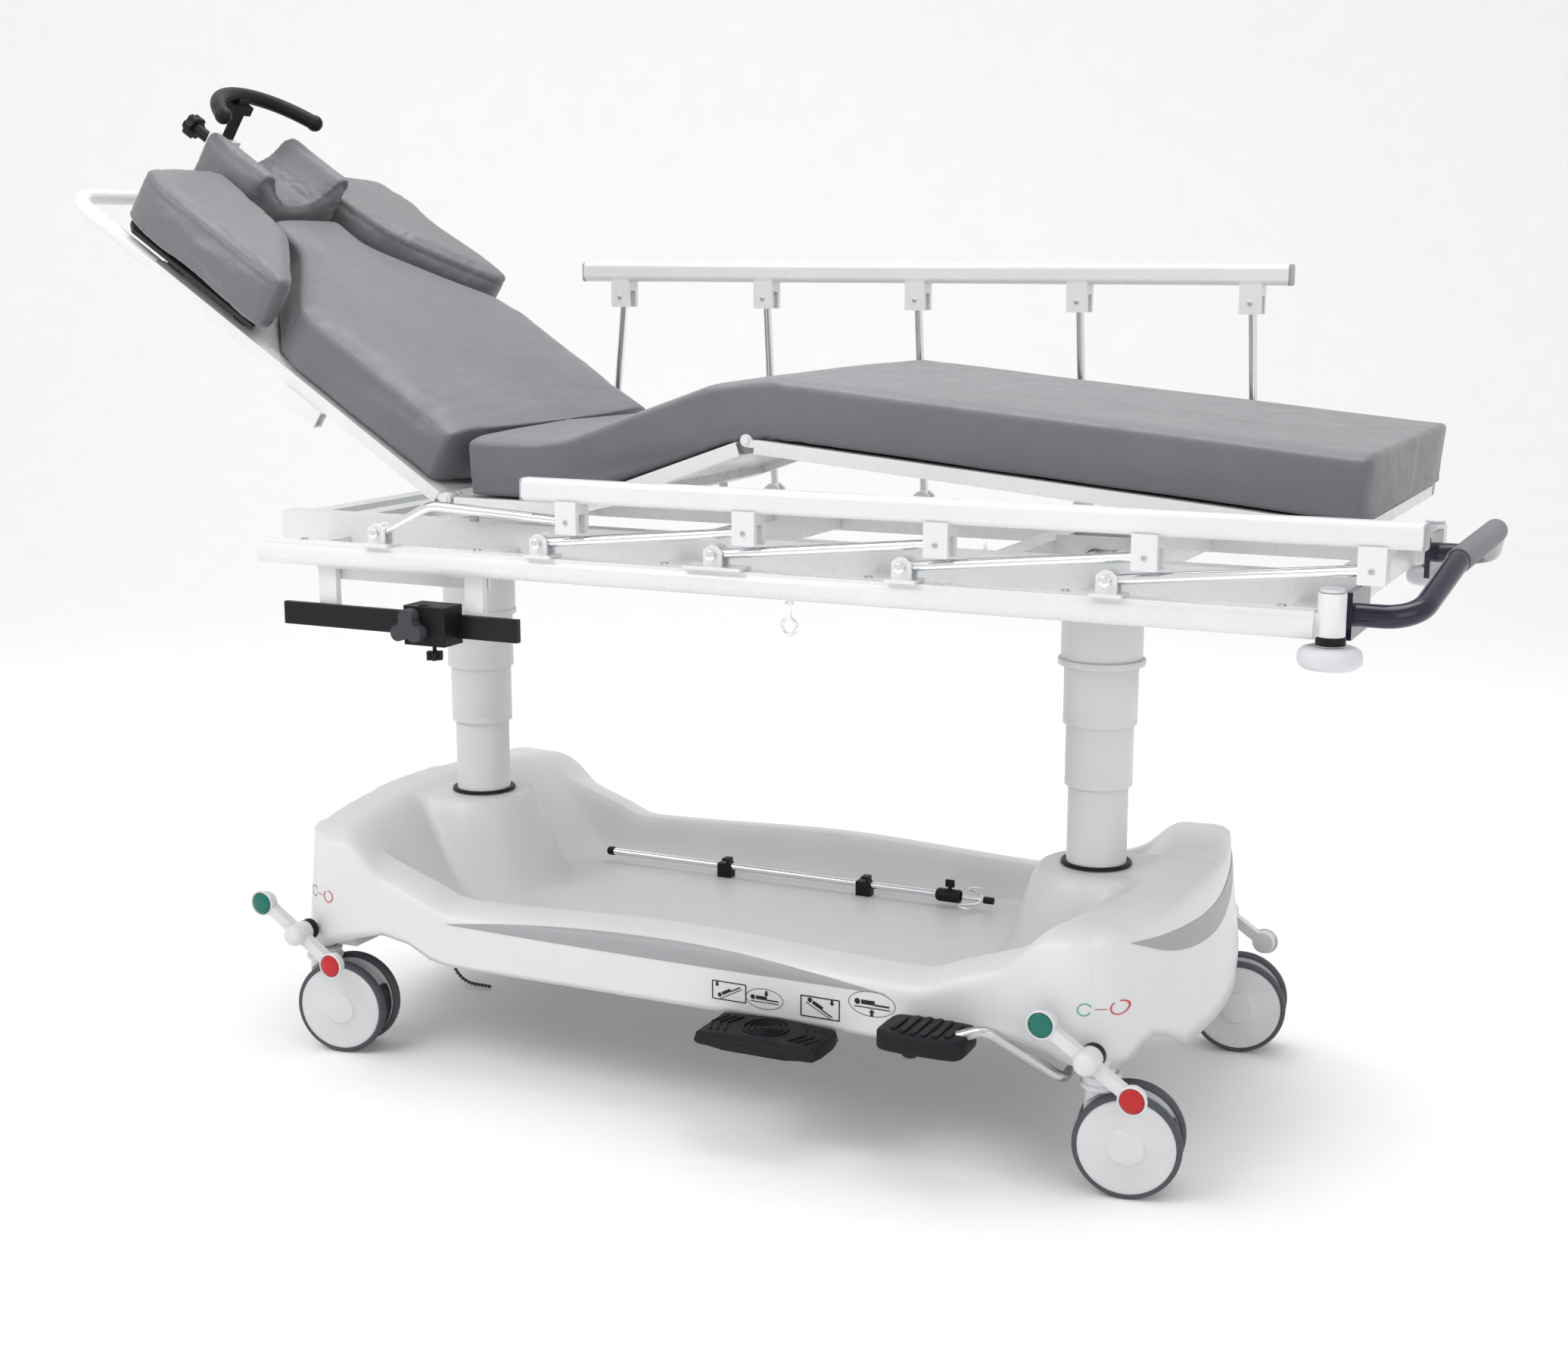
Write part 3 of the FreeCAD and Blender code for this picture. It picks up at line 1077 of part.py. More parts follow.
doc.recompute()
problems = [obj.Label for obj in doc.Objects if {"Invalid", "Error"} & set(obj.State)]
problems += [obj.Label for obj in nodes if obj.Shape.isNull() or not obj.Shape.isValid()]
if problems:
    raise RuntimeError(f"not valid: {problems}")
os.makedirs("parts", exist_ok=True)
for obj in nodes:
    obj.Shape.exportStep(f"parts/{obj.Label}.step")
whole = Part.makeCompound([obj.Shape for obj in nodes]).BoundBox
print(len(nodes), "nodes; whole box", whole)
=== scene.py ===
"""A hospital stretcher trolley: camera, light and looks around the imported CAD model."""

import math

import bmesh
import bpy
from mathutils import Matrix, Vector, noise
from mathutils.bvhtree import BVHTree
from mathutils.kdtree import KDTree


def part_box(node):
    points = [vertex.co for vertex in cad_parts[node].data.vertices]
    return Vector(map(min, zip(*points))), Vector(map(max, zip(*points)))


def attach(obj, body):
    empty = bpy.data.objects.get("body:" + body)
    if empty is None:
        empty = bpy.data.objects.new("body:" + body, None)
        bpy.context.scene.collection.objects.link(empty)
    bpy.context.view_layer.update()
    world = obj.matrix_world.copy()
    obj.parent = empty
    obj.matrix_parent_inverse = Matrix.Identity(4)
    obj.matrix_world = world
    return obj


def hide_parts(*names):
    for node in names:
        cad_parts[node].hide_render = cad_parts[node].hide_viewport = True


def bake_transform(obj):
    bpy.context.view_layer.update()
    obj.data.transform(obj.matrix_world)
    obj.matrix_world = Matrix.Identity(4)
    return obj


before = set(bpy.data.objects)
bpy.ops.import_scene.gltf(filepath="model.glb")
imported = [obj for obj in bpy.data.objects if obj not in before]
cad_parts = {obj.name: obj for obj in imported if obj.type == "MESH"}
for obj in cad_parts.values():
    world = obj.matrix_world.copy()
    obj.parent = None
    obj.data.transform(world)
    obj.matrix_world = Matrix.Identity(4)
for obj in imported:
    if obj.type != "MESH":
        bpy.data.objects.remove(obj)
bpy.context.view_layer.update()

# Everything below is in millimetres from the floor point midway between the two lift columns.
COLUMNS = [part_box(f"{end}_column_stage_c") for end in ("head", "foot")]
CORNERS = [corner for pair in COLUMNS for corner in pair]
MIDDLE = sum(CORNERS, Vector()) / len(CORNERS)
MIDDLE.z = 0
COLUMN_X = (COLUMNS[1][0].x + COLUMNS[1][1].x) / 2 * 1000 - MIDDLE.x * 1000


def at(x, y, z):
    """A point in the row frame, in metres."""
    return MIDDLE + Vector((x, y, z)) / 1000


def facing(origin, x_axis, z_axis):
    """A frame of a tilted section: millimetres in, metres in the row frame out."""
    x, z = Vector(x_axis).normalized(), Vector(z_axis).normalized()
    turn = Matrix((x, z.cross(x), z)).transposed().to_4x4()
    return Matrix.Translation(at(*origin)) @ turn @ Matrix.Scale(0.001, 4)


BACK_TILT, THIGH_TILT, LEG_TILT = (math.radians(a) for a in (33, 19.6, 5.3))
DECK_Z, BACK_X, THIGH_X, KNEE = 900, -400, -190, (105.8, 1005.3)
BACK = facing((BACK_X, 0, DECK_Z), (-math.cos(BACK_TILT), 0, math.sin(BACK_TILT)),
              (math.sin(BACK_TILT), 0, math.cos(BACK_TILT)))
THIGH = facing((THIGH_X, 0, DECK_Z), (math.cos(THIGH_TILT), 0, math.sin(THIGH_TILT)),
               (-math.sin(THIGH_TILT), 0, math.cos(THIGH_TILT)))
LEG = facing((KNEE[0], 0, KNEE[1]), (math.cos(LEG_TILT), 0, -math.sin(LEG_TILT)),
             (math.sin(LEG_TILT), 0, math.cos(LEG_TILT)))
LEVEL = Matrix.Translation(MIDDLE) @ Matrix.Scale(0.001, 4)


SIDES = (("near", -1), ("far", 1))
ENDS = (("head", -1), ("foot", 1))


# ---------------------------------------------------------------- camera

def add_camera():
    yaw, pitch = math.radians(25.39), math.radians(10.96)
    data = bpy.data.cameras.new("view")
    data.sensor_fit = "HORIZONTAL"
    data.sensor_width = 36
    data.lens = 50.04
    data.clip_end = 60
    camera = bpy.data.objects.new("view", data)
    camera.location = at(1466, -3037.6, 1264.1)
    camera.rotation_euler = (math.radians(90) - pitch, 0, yaw)
    bpy.context.scene.collection.objects.link(camera)
    bpy.context.scene.camera = camera


add_camera()


# ---------------------------------------------------------------- materials

class Nodes:
    """A short way to write one material's node tree."""

    def __init__(self, name):
        self.material = bpy.data.materials.new(name)
        self.material.use_nodes = True
        self.tree = self.material.node_tree
        self.shader = self.tree.nodes["Principled BSDF"]
        coords = self.tree.nodes.new("ShaderNodeTexCoord")
        self.place = coords.outputs["Object"]

    def node(self, kind, inputs=(), **settings):
        made = self.tree.nodes.new(kind)
        for key, value in settings.items():
            setattr(made, key, value)
        for key, value in dict(inputs).items():
            if isinstance(value, bpy.types.NodeSocket):
                self.tree.links.new(value, made.inputs[key])
            else:
                made.inputs[key].default_value = value
        return made

    def stretched(self, scale):
        return self.node("ShaderNodeMapping", {"Vector": self.place, "Scale": scale}).outputs[0]

    def noise(self, scale, detail=3.0, rough=0.55, place=None):
        values = {"Vector": place or self.place, "Scale": scale, "Detail": detail, "Roughness": rough}
        return self.node("ShaderNodeTexNoise", values).outputs["Fac"]

    def ramp(self, value, stops):
        made = self.node("ShaderNodeValToRGB", {"Fac": value})
        ramp = made.color_ramp
        while len(ramp.elements) < len(stops):
            ramp.elements.new(0.5)
        for element, (place, colour) in zip(ramp.elements, stops):
            element.position = place
            element.color = (*colour, 1)
        return made.outputs["Color"]

    def cloudy(self, value, colour, mottle):
        return self.ramp(value, [(0.3, shade(colour, 1 - mottle)), (0.7, shade(colour, 1 + mottle))])

    def between(self, value, low, high, start=0.3, end=0.7):
        values = {"Value": value, "From Min": start, "From Max": end, "To Min": low, "To Max": high}
        return self.node("ShaderNodeMapRange", values).outputs["Result"]

    def mix(self, fac, first, second):
        made = self.node("ShaderNodeMix", data_type="RGBA")
        for socket, value in ((made.inputs[0], fac), (made.inputs[6], first), (made.inputs[7], second)):
            if isinstance(value, bpy.types.NodeSocket):
                self.tree.links.new(value, socket)
            else:
                socket.default_value = (*value, 1) if isinstance(value, tuple) else value
        return made.outputs[2]

    def bump(self, height, strength, distance, under=None):
        values = {"Height": height, "Strength": strength, "Distance": distance}
        if under is not None:
            values["Normal"] = under
        return self.node("ShaderNodeBump", values).outputs["Normal"]

    def feed(self, **sockets):
        for key, value in sockets.items():
            socket = self.shader.inputs[key.replace("_", " ")]
            if isinstance(value, bpy.types.NodeSocket):
                self.tree.links.new(value, socket)
            else:
                socket.default_value = value
        return self.material


def shade(colour, factor):
    return tuple(min(1.0, c * factor) for c in colour)


DARK = 0.12  # colours below this reflect less


def painted(name, colour, rough, coat=0.3, peel=0.05, mottle=0.03):
    """Powder coat or gloss paint: faint cloudiness, orange peel and uneven gloss."""
    n = Nodes(name)
    clouds = n.noise(6, 4)
    peeled = n.bump(n.noise(420, 2), peel, 0.0006)
    return n.feed(Base_Color=n.cloudy(clouds, colour, mottle),
                  Roughness=n.between(n.noise(25, 3), rough * 0.85, rough * 1.2),
                  Normal=peeled, Coat_Weight=coat, Coat_Roughness=0.12,
                  Specular_IOR_Level=0.2 if max(colour) < DARK else 0.5)


def moulded(name, colour, rough, grain=0.25, size=900, mottle=0.05, speck=0.0):
    """Moulded plastic or rubber with a fine spark-eroded grain; dark ones reflect less."""
    n = Nodes(name)
    base = n.cloudy(n.noise(9, 4), colour, mottle)
    if speck:
        dots = n.between(n.noise(1500, 1, 0.4), 0.0, speck, 0.58, 0.68)
        base = n.mix(dots, base, (0.2, 0.2, 0.21))
    fine = n.bump(n.noise(size, 2), grain, 0.0004)
    return n.feed(Base_Color=base, Roughness=n.between(n.noise(40, 3), rough * 0.88, rough * 1.12),
                  Normal=fine, Specular_IOR_Level=0.18 if max(colour) < DARK else 0.4)


def metal(name, colour, rough, lines=(1, 1, 1), scratch=0.15, mottle=0.08):
    """Bare or plated metal with drawn lines along its length."""
    n = Nodes(name)
    drawn = n.noise(60, 4, 0.6, n.stretched(lines))
    return n.feed(Base_Color=n.cloudy(n.noise(15, 4), colour, mottle), Metallic=1.0,
                  Roughness=n.between(drawn, rough * 0.7, rough * 1.4),
                  Normal=n.bump(drawn, scratch, 0.0003))


def vinyl_cloth(name, colour):
    """Coated upholstery vinyl: pebbled grain, soft creases and a dull sheen."""
    n = Nodes(name)
    cells = n.node("ShaderNodeTexVoronoi", {"Vector": n.place, "Scale": 620.0}, feature="SMOOTH_F1")
    grain = n.bump(cells.outputs["Distance"], 0.35, 0.0005)
    creases = n.bump(n.noise(26, 4, 0.6, n.stretched((1, 1, 2.2))), 0.25, 0.003, grain)
    tone = n.ramp(n.noise(5, 5, 0.6), [(0.28, shade(colour, 0.9)), (0.72, shade(colour, 1.08))])
    return n.feed(Base_Color=tone, Roughness=n.between(n.noise(30, 3), 0.42, 0.58), Normal=creases,
                  Sheen_Weight=0.15, Sheen_Roughness=0.4)


WHITE = painted("gloss_white_paint", (0.68, 0.69, 0.70), 0.28)
COLUMN = painted("satin_column_paint", (0.62, 0.625, 0.635), 0.42, coat=0.1, peel=0.08)
BLACK_PAINT = painted("black_powder_coat", (0.008, 0.008, 0.010), 0.38, coat=0.05)
NAVY = painted("gloss_navy_bar_paint", (0.010, 0.011, 0.028), 0.22, coat=0.5)
COVER = moulded("cover_plastic", (0.63, 0.635, 0.645), 0.36, grain=0.35, size=520, mottle=0.02, speck=0.06)
SWOOSH = moulded("grey_printed_plastic", (0.30, 0.305, 0.315), 0.42, grain=0.2, size=600, mottle=0.03)
CASTOR_GREY = moulded("castor_fairing_plastic", (0.60, 0.61, 0.63), 0.4, grain=0.15)
HUB_WHITE = moulded("castor_hub_plastic", (0.60, 0.605, 0.615), 0.35, grain=0.15, size=700)
TYRE = moulded("tyre_rubber", (0.075, 0.08, 0.09), 0.6, grain=0.4, size=350)
BLACK_PLASTIC = moulded("black_plastic", (0.009, 0.009, 0.011), 0.42)
RUBBER = moulded("pedal_rubber", (0.009, 0.009, 0.012), 0.5, grain=0.4, size=500)
KNOB_GREY = moulded("dark_grey_knob_plastic", (0.05, 0.052, 0.058), 0.4)
SOCKET_GREY = moulded("light_grey_socket_plastic", (0.50, 0.51, 0.52), 0.4)
CAP_GREY = moulded("rail_cap_plastic", (0.30, 0.31, 0.32), 0.4)
BUFFER = moulded("buffer_plastic", (0.60, 0.61, 0.63), 0.4, grain=0.2)
GREEN = moulded("green_pad_plastic", (0.001, 0.125, 0.095), 0.35)
RED = moulded("red_pad_plastic", (0.42, 0.008, 0.010), 0.35)
INK = moulded("printed_icon_ink", (0.02, 0.02, 0.022), 0.5)
GREEN_INK = moulded("printed_green_ink", (0.05, 0.32, 0.18), 0.5)
RED_INK = moulded("printed_red_ink", (0.55, 0.03, 0.03), 0.5)
SLEEVE = moulded("grey_grip_sleeve", (0.16, 0.165, 0.18), 0.62, grain=0.4, size=700)
BOARD = moulded("dark_deck_board", (0.03, 0.031, 0.034), 0.5, grain=0.3)
CHROME = metal("bright_chrome", (0.80, 0.81, 0.82), 0.10, (1, 1, 1), 0.03, 0.03)
STEEL = metal("zinc_plated_steel", (0.50, 0.51, 0.52), 0.32, (1, 1, 6))
RAIL = painted("rail_white_paint", (0.68, 0.69, 0.70), 0.30)
CHAIN_METAL = metal("twisted_earthing_chain", (0.10, 0.10, 0.11), 0.45, (4, 4, 4), 0.4, 0.3)
VINYL = vinyl_cloth("grey_vinyl", (0.122, 0.126, 0.136))
VINYL_LIGHT = vinyl_cloth("grey_vinyl_light", (0.130, 0.132, 0.141))
FLOOR = moulded("pale_floor", (0.94, 0.94, 0.94), 0.7, grain=0.05, size=60, mottle=0.01)


# ---------------------------------------------------------------- mesh helpers

def link(obj, materials):
    for material in materials:
        obj.data.materials.append(material)
    if obj.type == "MESH":
        obj.data.polygons.foreach_set("use_smooth", [True] * len(obj.data.polygons))
    bpy.context.scene.collection.objects.link(obj)
    return obj


def mesh(name, points, faces, *materials):
    data = bpy.data.meshes.new(name)
    data.from_pydata([tuple(p) for p in points], [], faces)
    data.validate()
    return link(bpy.data.objects.new(name, data), materials)


def modified(obj, kind, **settings):
    modifier = obj.modifiers.new(kind.lower(), kind)
    for key, value in settings.items():
        setattr(modifier, key, value)
    return obj


def applied(obj):
    """Bakes the modifiers of obj into its mesh."""
    graph = bpy.context.evaluated_depsgraph_get()
    data = bpy.data.meshes.new_from_object(obj.evaluated_get(graph))
    obj.modifiers.clear()
    obj.data = data
    return obj


def crisp(obj, angle=35):
    """Smooth shading that stops at edges sharper than angle."""
    data = obj.data
    edit = bmesh.new()
    edit.from_mesh(data)
    for edge in edit.edges:
        edge.smooth = not (len(edge.link_faces) == 2 and edge.calc_face_angle(0) > math.radians(angle))
    edit.to_mesh(data)
    edit.free()
    return obj


def lathe(name, frame_of, profile, *materials, steps=56, parts=None):
    """Turns (radius, height) points about the local Z; parts gives each band's material number."""
    points, faces = [], []
    for i in range(steps):
        angle = math.tau * i / steps
        for radius, height in profile:
            points.append(frame_of @ Vector((radius * math.cos(angle), radius * math.sin(angle), height)))
    count = len(profile)
    bands = []
    for i in range(steps):
        k = (i + 1) % steps
        for j in range(count - 1):
            faces.append((i * count + j, k * count + j, k * count + j + 1, i * count + j + 1))
            bands.append(parts[j] if parts else 0)
    obj = mesh(name, points, faces, *materials)
    for polygon, band in zip(obj.data.polygons, bands):
        polygon.material_index = band
    return cleaned(obj)


def cleaned(obj):
    """Joins doubled points, turns the faces outwards and marks the sharp edges."""
    edit = bmesh.new()
    edit.from_mesh(obj.data)
    bmesh.ops.remove_doubles(edit, verts=edit.verts, dist=1e-6)
    bmesh.ops.recalc_face_normals(edit, faces=edit.faces)
    edit.to_mesh(obj.data)
    edit.free()
    return crisp(obj)


def outward(obj):
    """Turns every face outwards."""
    edit = bmesh.new()
    edit.from_mesh(obj.data)
    bmesh.ops.recalc_face_normals(edit, faces=edit.faces)
    edit.to_mesh(obj.data)
    edit.free()


def sheet_faces(rows, count):
    """Faces of a grid of points: so many rows with count points in each."""
    return [(a, a + 1, a + count + 1, a + count) for j in range(rows - 1)
            for a in range(j * count, j * count + count - 1)]


def tube_faces(rings, count, first=0):
    """Faces round a row of closed rings with count points in each."""
    faces = []
    for j in range(rings - 1):
        for i in range(count):
            a, b = first + j * count + i, first + j * count + (i + 1) % count
            faces.append((a, b, b + count, a + count))
    return faces


def end_faces(rings, count):
    """The caps of a tube's first and last ring."""
    return [tuple(range(count))[::-1], tuple(range((rings - 1) * count, rings * count))]


def looking(point, axis):
    """A frame at point whose local Z runs along axis."""
    turn = Vector(axis).to_track_quat("Z", "Y").to_matrix().to_4x4()
    return Matrix.Translation(at(*point)) @ turn @ Matrix.Scale(0.001, 4)


def bar(name, frame_of, points, radius, material, bend=0.0):
    """A round bar or wire along points, with smooth bends when bend is set."""
    data = bpy.data.curves.new(name, "CURVE")
    data.dimensions = "3D"
    data.bevel_depth = radius / 1000
    data.bevel_resolution = 5
    data.use_fill_caps = True
    kind = "NURBS" if bend else "POLY"
    spline = data.splines.new(kind)
    spline.points.add(len(points) - 1)
    for slot, point in zip(spline.points, points):
        slot.co = (*(frame_of @ Vector(point)), 1)
    if bend:
        spline.order_u = 3
        spline.use_endpoint_u = True
        spline.resolution_u = 8
    return link(bpy.data.objects.new(name, data), (material,))


def plate(name, frame_of, outline, bottom, top, material, soft=1.0, segments=3):
    """A flat part from an outline in local X and Y, its edges rounded by soft."""
    count = len(outline)
    points = [frame_of @ Vector((x, y, bottom)) for x, y in outline]
    points += [frame_of @ Vector((x, y, top)) for x, y in outline]
    faces = [tuple(range(count))[::-1], tuple(range(count, 2 * count))]
    faces += [(i, (i + 1) % count, count + (i + 1) % count, count + i) for i in range(count)]
    obj = cleaned(mesh(name, points, faces, material))
    if soft:
        modified(obj, "BEVEL", width=soft / 1000, segments=segments, limit_method="ANGLE",
                 angle_limit=math.radians(30))
        applied(obj)
        crisp(obj, 50)
    return obj


def soft_box(across, up, radius, middle=(0, 0), steps=5):
    """The outline of a rectangle with round corners."""
    points = []
    for number, (sx, sy) in enumerate(((1, 1), (-1, 1), (-1, -1), (1, -1))):
        for i in range(steps + 1):
            angle = math.pi / 2 * (number + i / steps)
            points.append((middle[0] + sx * (across - radius) + radius * math.cos(angle),
                           middle[1] + sy * (up - radius) + radius * math.sin(angle)))
    return points


def smoothed(points, rounds=2, closed=True):
    """Chaikin corner cutting."""
    for _ in range(rounds):
        cut = []
        pairs = range(len(points)) if closed else range(len(points) - 1)
        for i in pairs:
            a, b = Vector(points[i]), Vector(points[(i + 1) % len(points)])
            cut += [a.lerp(b, 0.25), a.lerp(b, 0.75)]
        if not closed:
            cut = [Vector(points[0])] + cut + [Vector(points[-1])]
        points = cut
    return [tuple(p) for p in points]


def along(table, value):
    """Straight-line reading of a table of (place, value)."""
    if value <= table[0][0]:
        return table[0][1]
    for (a, low), (b, high) in zip(table, table[1:]):
        if value <= b:
            return low + (high - low) * (value - a) / (b - a)
    return table[-1][1]


def eased(t):
    t = min(1.0, max(0.0, t))
    return t * t * (3 - 2 * t)


def rides(obj, body, replaced=()):
    if replaced:
        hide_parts(*replaced)
    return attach(obj, body)


# ---------------------------------------------------------------- antistatic chain

CHAIN = [(-640, 30, 171.5), (-640, 30, 147), (-641, 29, 122), (-639, 30, 97), (-640, 31, 72),
         (-638, 30, 48), (-631, 29, 26), (-616, 28, 10.5), (-596, 26, 4.3), (-575, 28, 4.0),
         (-556, 27, 4.1)]


def chain_route():
    """The smooth centreline of the chain, as points read from its own spline."""
    route = bar("chain_route", LEVEL, CHAIN, 0, CHAIN_METAL, bend=1)
    route.data.bevel_depth = 0
    route.data.splines[0].resolution_u = 24
    bpy.context.view_layer.update()
    data = bpy.data.meshes.new_from_object(route.evaluated_get(bpy.context.evaluated_depsgraph_get()))
    line = [v.co.copy() for v in data.vertices]
    bpy.data.objects.remove(route)
    bpy.data.meshes.remove(data)
    return line


def twisted_chain():
    """Two strands wound round the chain's centreline."""
    line = chain_route()
    lengths = [0.0]
    for a, b in zip(line, line[1:]):
        lengths.append(lengths[-1] + (b - a).length)
    pitch, strand, count = 0.014, 0.00185, 8
    steps = int(lengths[-1] / 0.0011)
    points, faces = [], []
    for turn in (0, math.pi):
        first = len(points)
        for i in range(steps + 1):
            want = lengths[-1] * i / steps
            place = next((k for k in range(len(line) - 1) if lengths[k + 1] >= want), len(line) - 2)
            part = (want - lengths[place]) / max(1e-9, lengths[place + 1] - lengths[place])
            centre = line[place].lerp(line[place + 1], part)
            ahead = (line[place + 1] - line[place]).normalized()
            side = ahead.cross(Vector((0, 1, 0))).normalized()
            up = side.cross(ahead)
            angle = turn + math.tau * want / pitch
            out = side * math.cos(angle) + up * math.sin(angle)
            middle = centre + out * (0.0035 - strand)
            around = ahead.cross(out)
            lump = strand * (0.88 + 0.12 * math.sin(angle * 2.5))
            for j in range(count):
                w = math.tau * j / count
                points.append(middle + (out * math.cos(w) + around * math.sin(w)) * lump)
        faces += tube_faces(steps + 1, count, first)
        faces.append(tuple(range(first, first + count)))
        faces.append(tuple(range(first + steps * count, first + (steps + 1) * count))[::-1])
    obj = mesh("earthing_chain", points, faces, CHAIN_METAL)
    rides(obj, "base", ["antistatic_chain"])
    return obj


twisted_chain()


# ---------------------------------------------------------------- base cover

FLOOR_Z, SIDE_Y, END_X, BOSS_TOP, LEDGE_TOP = 205, 345, 732, 373, 379
END_LEAN, CORNER = 18, 58
CASTOR_X, CASTOR_Y, BRAKE_Z = 650, 308, 204


def end_x(y, lean=0.0):
    """How far the bowed end wall stands out at y."""
    return END_X - lean - 59 * (min(abs(y), SIDE_Y) / 340) ** 2


def crest(x):
    """Height of the rim along each side."""
    x = abs(x)
    low = 288 - 12 * eased(x / 380)
    return low + max(0, x - 385) * 0.34 * eased((x - 360) / 80)


def fall(distance, start, end, power=1.0):
    """1 before start, 0 after end."""
    return (1 - eased((distance - start) / (end - start))) ** power


def shoulder(distance, reach, drop):
    t = min(1.0, max(0.0, 1 - distance / reach))
    return drop * (1 - math.sqrt(1 - t * t))


def blend_up(heights, soft):
    """A smooth maximum."""
    top = max(heights)
    return top + soft * math.log(sum(math.exp((h - top) / soft) for h in heights))


def cover_height(x, y):
    """Top surface of the cover: tray floor, side rims, end ledges and column bosses."""
    side = SIDE_Y - abs(y)
    end = end_x(y, END_LEAN) - abs(x)
    boss = math.hypot(min(0, abs(x) - COLUMN_X), y)
    rim = (crest(x) - FLOOR_Z) * fall(side, 62, 102, 1.1)
    ledge = (LEDGE_TOP - 9 * (y / 330) ** 2 - FLOOR_Z) * fall(end, 70, 285, 1.45)
    tower = (BOSS_TOP - FLOOR_Z) * fall(boss, 78, 176, 1.8)
    height = FLOOR_Z + blend_up((0, rim, ledge, tower), 7) - 4
    return height - shoulder(side, 58, 26) - shoulder(end, 30, 16)


def cover_edge(x, y):
    """Height of the cover's lower edge, arched over each castor."""
    if SIDE_Y - abs(y) < 40 and abs(x) < END_X - 60:
        return along(((0, 178), (385, 178), (420, 184), (460, 204), (512, 213), (560, 200), (600, 184),
                      (640, 178)), abs(x))
    return along(((0, 160), (140, 160), (190, 186), (240, 204), (275, 196), (305, 180), (345, 177)), abs(y))


def rounded_plan(x, y, end, side, radius):
    """Moves a point of a square-cornered plan to one with round corners."""
    dx, dy = abs(x) - (end - radius), abs(y) - (side - radius)
    if dx <= 0 or dy <= 0:
        return x, y
    squash = max(dx, dy) / math.hypot(dx, dy)
    return (math.copysign(end - radius + dx * squash, x), math.copysign(side - radius + dy * squash, y))


def spread(count):
    """Even places from -1 to 1, closer together towards the ends."""
    return [math.sin(math.pi / 2 * (2 * i / count - 1)) * 0.45 + (2 * i / count - 1) * 0.55
            for i in range(count + 1)]


def base_cover():
    across, along_x = spread(110), spread(230)
    rows, columns = len(across), len(along_x)
    points = []
    for b in across:
        for a in along_x:
            y = SIDE_Y * b
            end = end_x(y, END_LEAN)
            x, y = rounded_plan(end * a, y, end, SIDE_Y, CORNER)
            points.append(at(x, y, cover_height(x, y)))
    faces = sheet_faces(rows, columns)
    loop = list(range(columns))
    loop += [j * columns + columns - 1 for j in range(1, rows)]
    loop += [(rows - 1) * columns + i for i in range(columns - 2, -1, -1)]
    loop += [j * columns for j in range(rows - 2, 0, -1)]
    ring = loop
    steps = 9
    tops = [(points[i] - MIDDLE) * 1000 for i in loop]
    for step in range(1, steps + 3):
        made = []
        for top in tops:
            low = cover_edge(top.x, top.y)
            part = min(1, step / steps)
            lean = END_LEAN * eased((abs(top.x) - 560) / 90) * part
            inset = 0 if step <= steps else 5
            lift = 0 if step <= steps else (2 if step == steps + 1 else 26)
            out = Vector((top.x, top.y * 0.7, 0)).normalized()
            x = top.x + math.copysign(lean, top.x) - out.x * inset
            y = top.y - out.y * inset
            made.append(len(points))
            points.append(at(x, y, top.z + (low - top.z) * part + lift))
        for k in range(len(ring)):
            n = (k + 1) % len(ring)
            faces.append((ring[k], made[k], made[n], ring[n]))
        ring = made
    obj = mesh("cover_shell", points, faces, COVER)
    outward(obj)
    return rides(obj, "base", ["base_cover"])


COVER_SHELL = base_cover()
SHELL = BVHTree.FromPolygons([v.co for v in COVER_SHELL.data.vertices],
                             [tuple(p.vertices) for p in COVER_SHELL.data.polygons])


PRINT_LIFT = 0.0007


def printed(name, rows, looking_along, material):
    """A thin print laid on the cover: each row of points is dropped onto the shell."""
    ray = Vector(looking_along)
    points = []
    for row in rows:
        for point in row:
            hit, normal, _, _ = SHELL.ray_cast(at(*point) - ray * 0.5, ray)
            hit, normal = (hit, normal) if hit else (at(*point), -ray)
            if normal.dot(ray) > 0:
                normal = -normal
            points.append(hit + normal * PRINT_LIFT)
    return rides(mesh(name, points, sheet_faces(len(rows), len(rows[0])), material), "base")


def band(lower, upper, steps=60, rows=9):
    """Rows of (place, height) between two curves, each a table over the same places."""
    start, end = lower[0][0], lower[-1][0]
    grid = []
    low, high = smoothed(lower, 3, closed=False), smoothed(upper, 3, closed=False)
    for j in range(rows + 1):
        row = []
        for i in range(steps + 1):
            place = start + (end - start) * i / steps
            a, b = along(low, place), along(high, place)
            row.append((place, a + (b - a) * j / rows))
        grid.append(row)
    return grid


def swooshes():
    side = band([(-391, 246), (-200, 243), (20, 242), (200, 243), (350, 243)],
                [(-391, 246), (-290, 259), (-130, 270), (40, 273), (200, 262), (350, 243)])
    printed("side_swoosh", [[(x, -SIDE_Y, z) for x, z in row] for row in side], (0, 1, 0), SWOOSH)
    printed("side_swoosh_far", [[(x, SIDE_Y, z) for x, z in row] for row in side], (0, -1, 0), SWOOSH)
    end = band([(-277, 344), (-150, 296), (20, 281), (160, 300), (262, 330)],
               [(-277, 344), (-160, 330), (20, 322), (170, 338), (262, 348)], 50, 6)
    printed("end_swoosh", [[(END_X, y, z) for y, z in row] for row in end], (-1, 0, 0), SWOOSH)


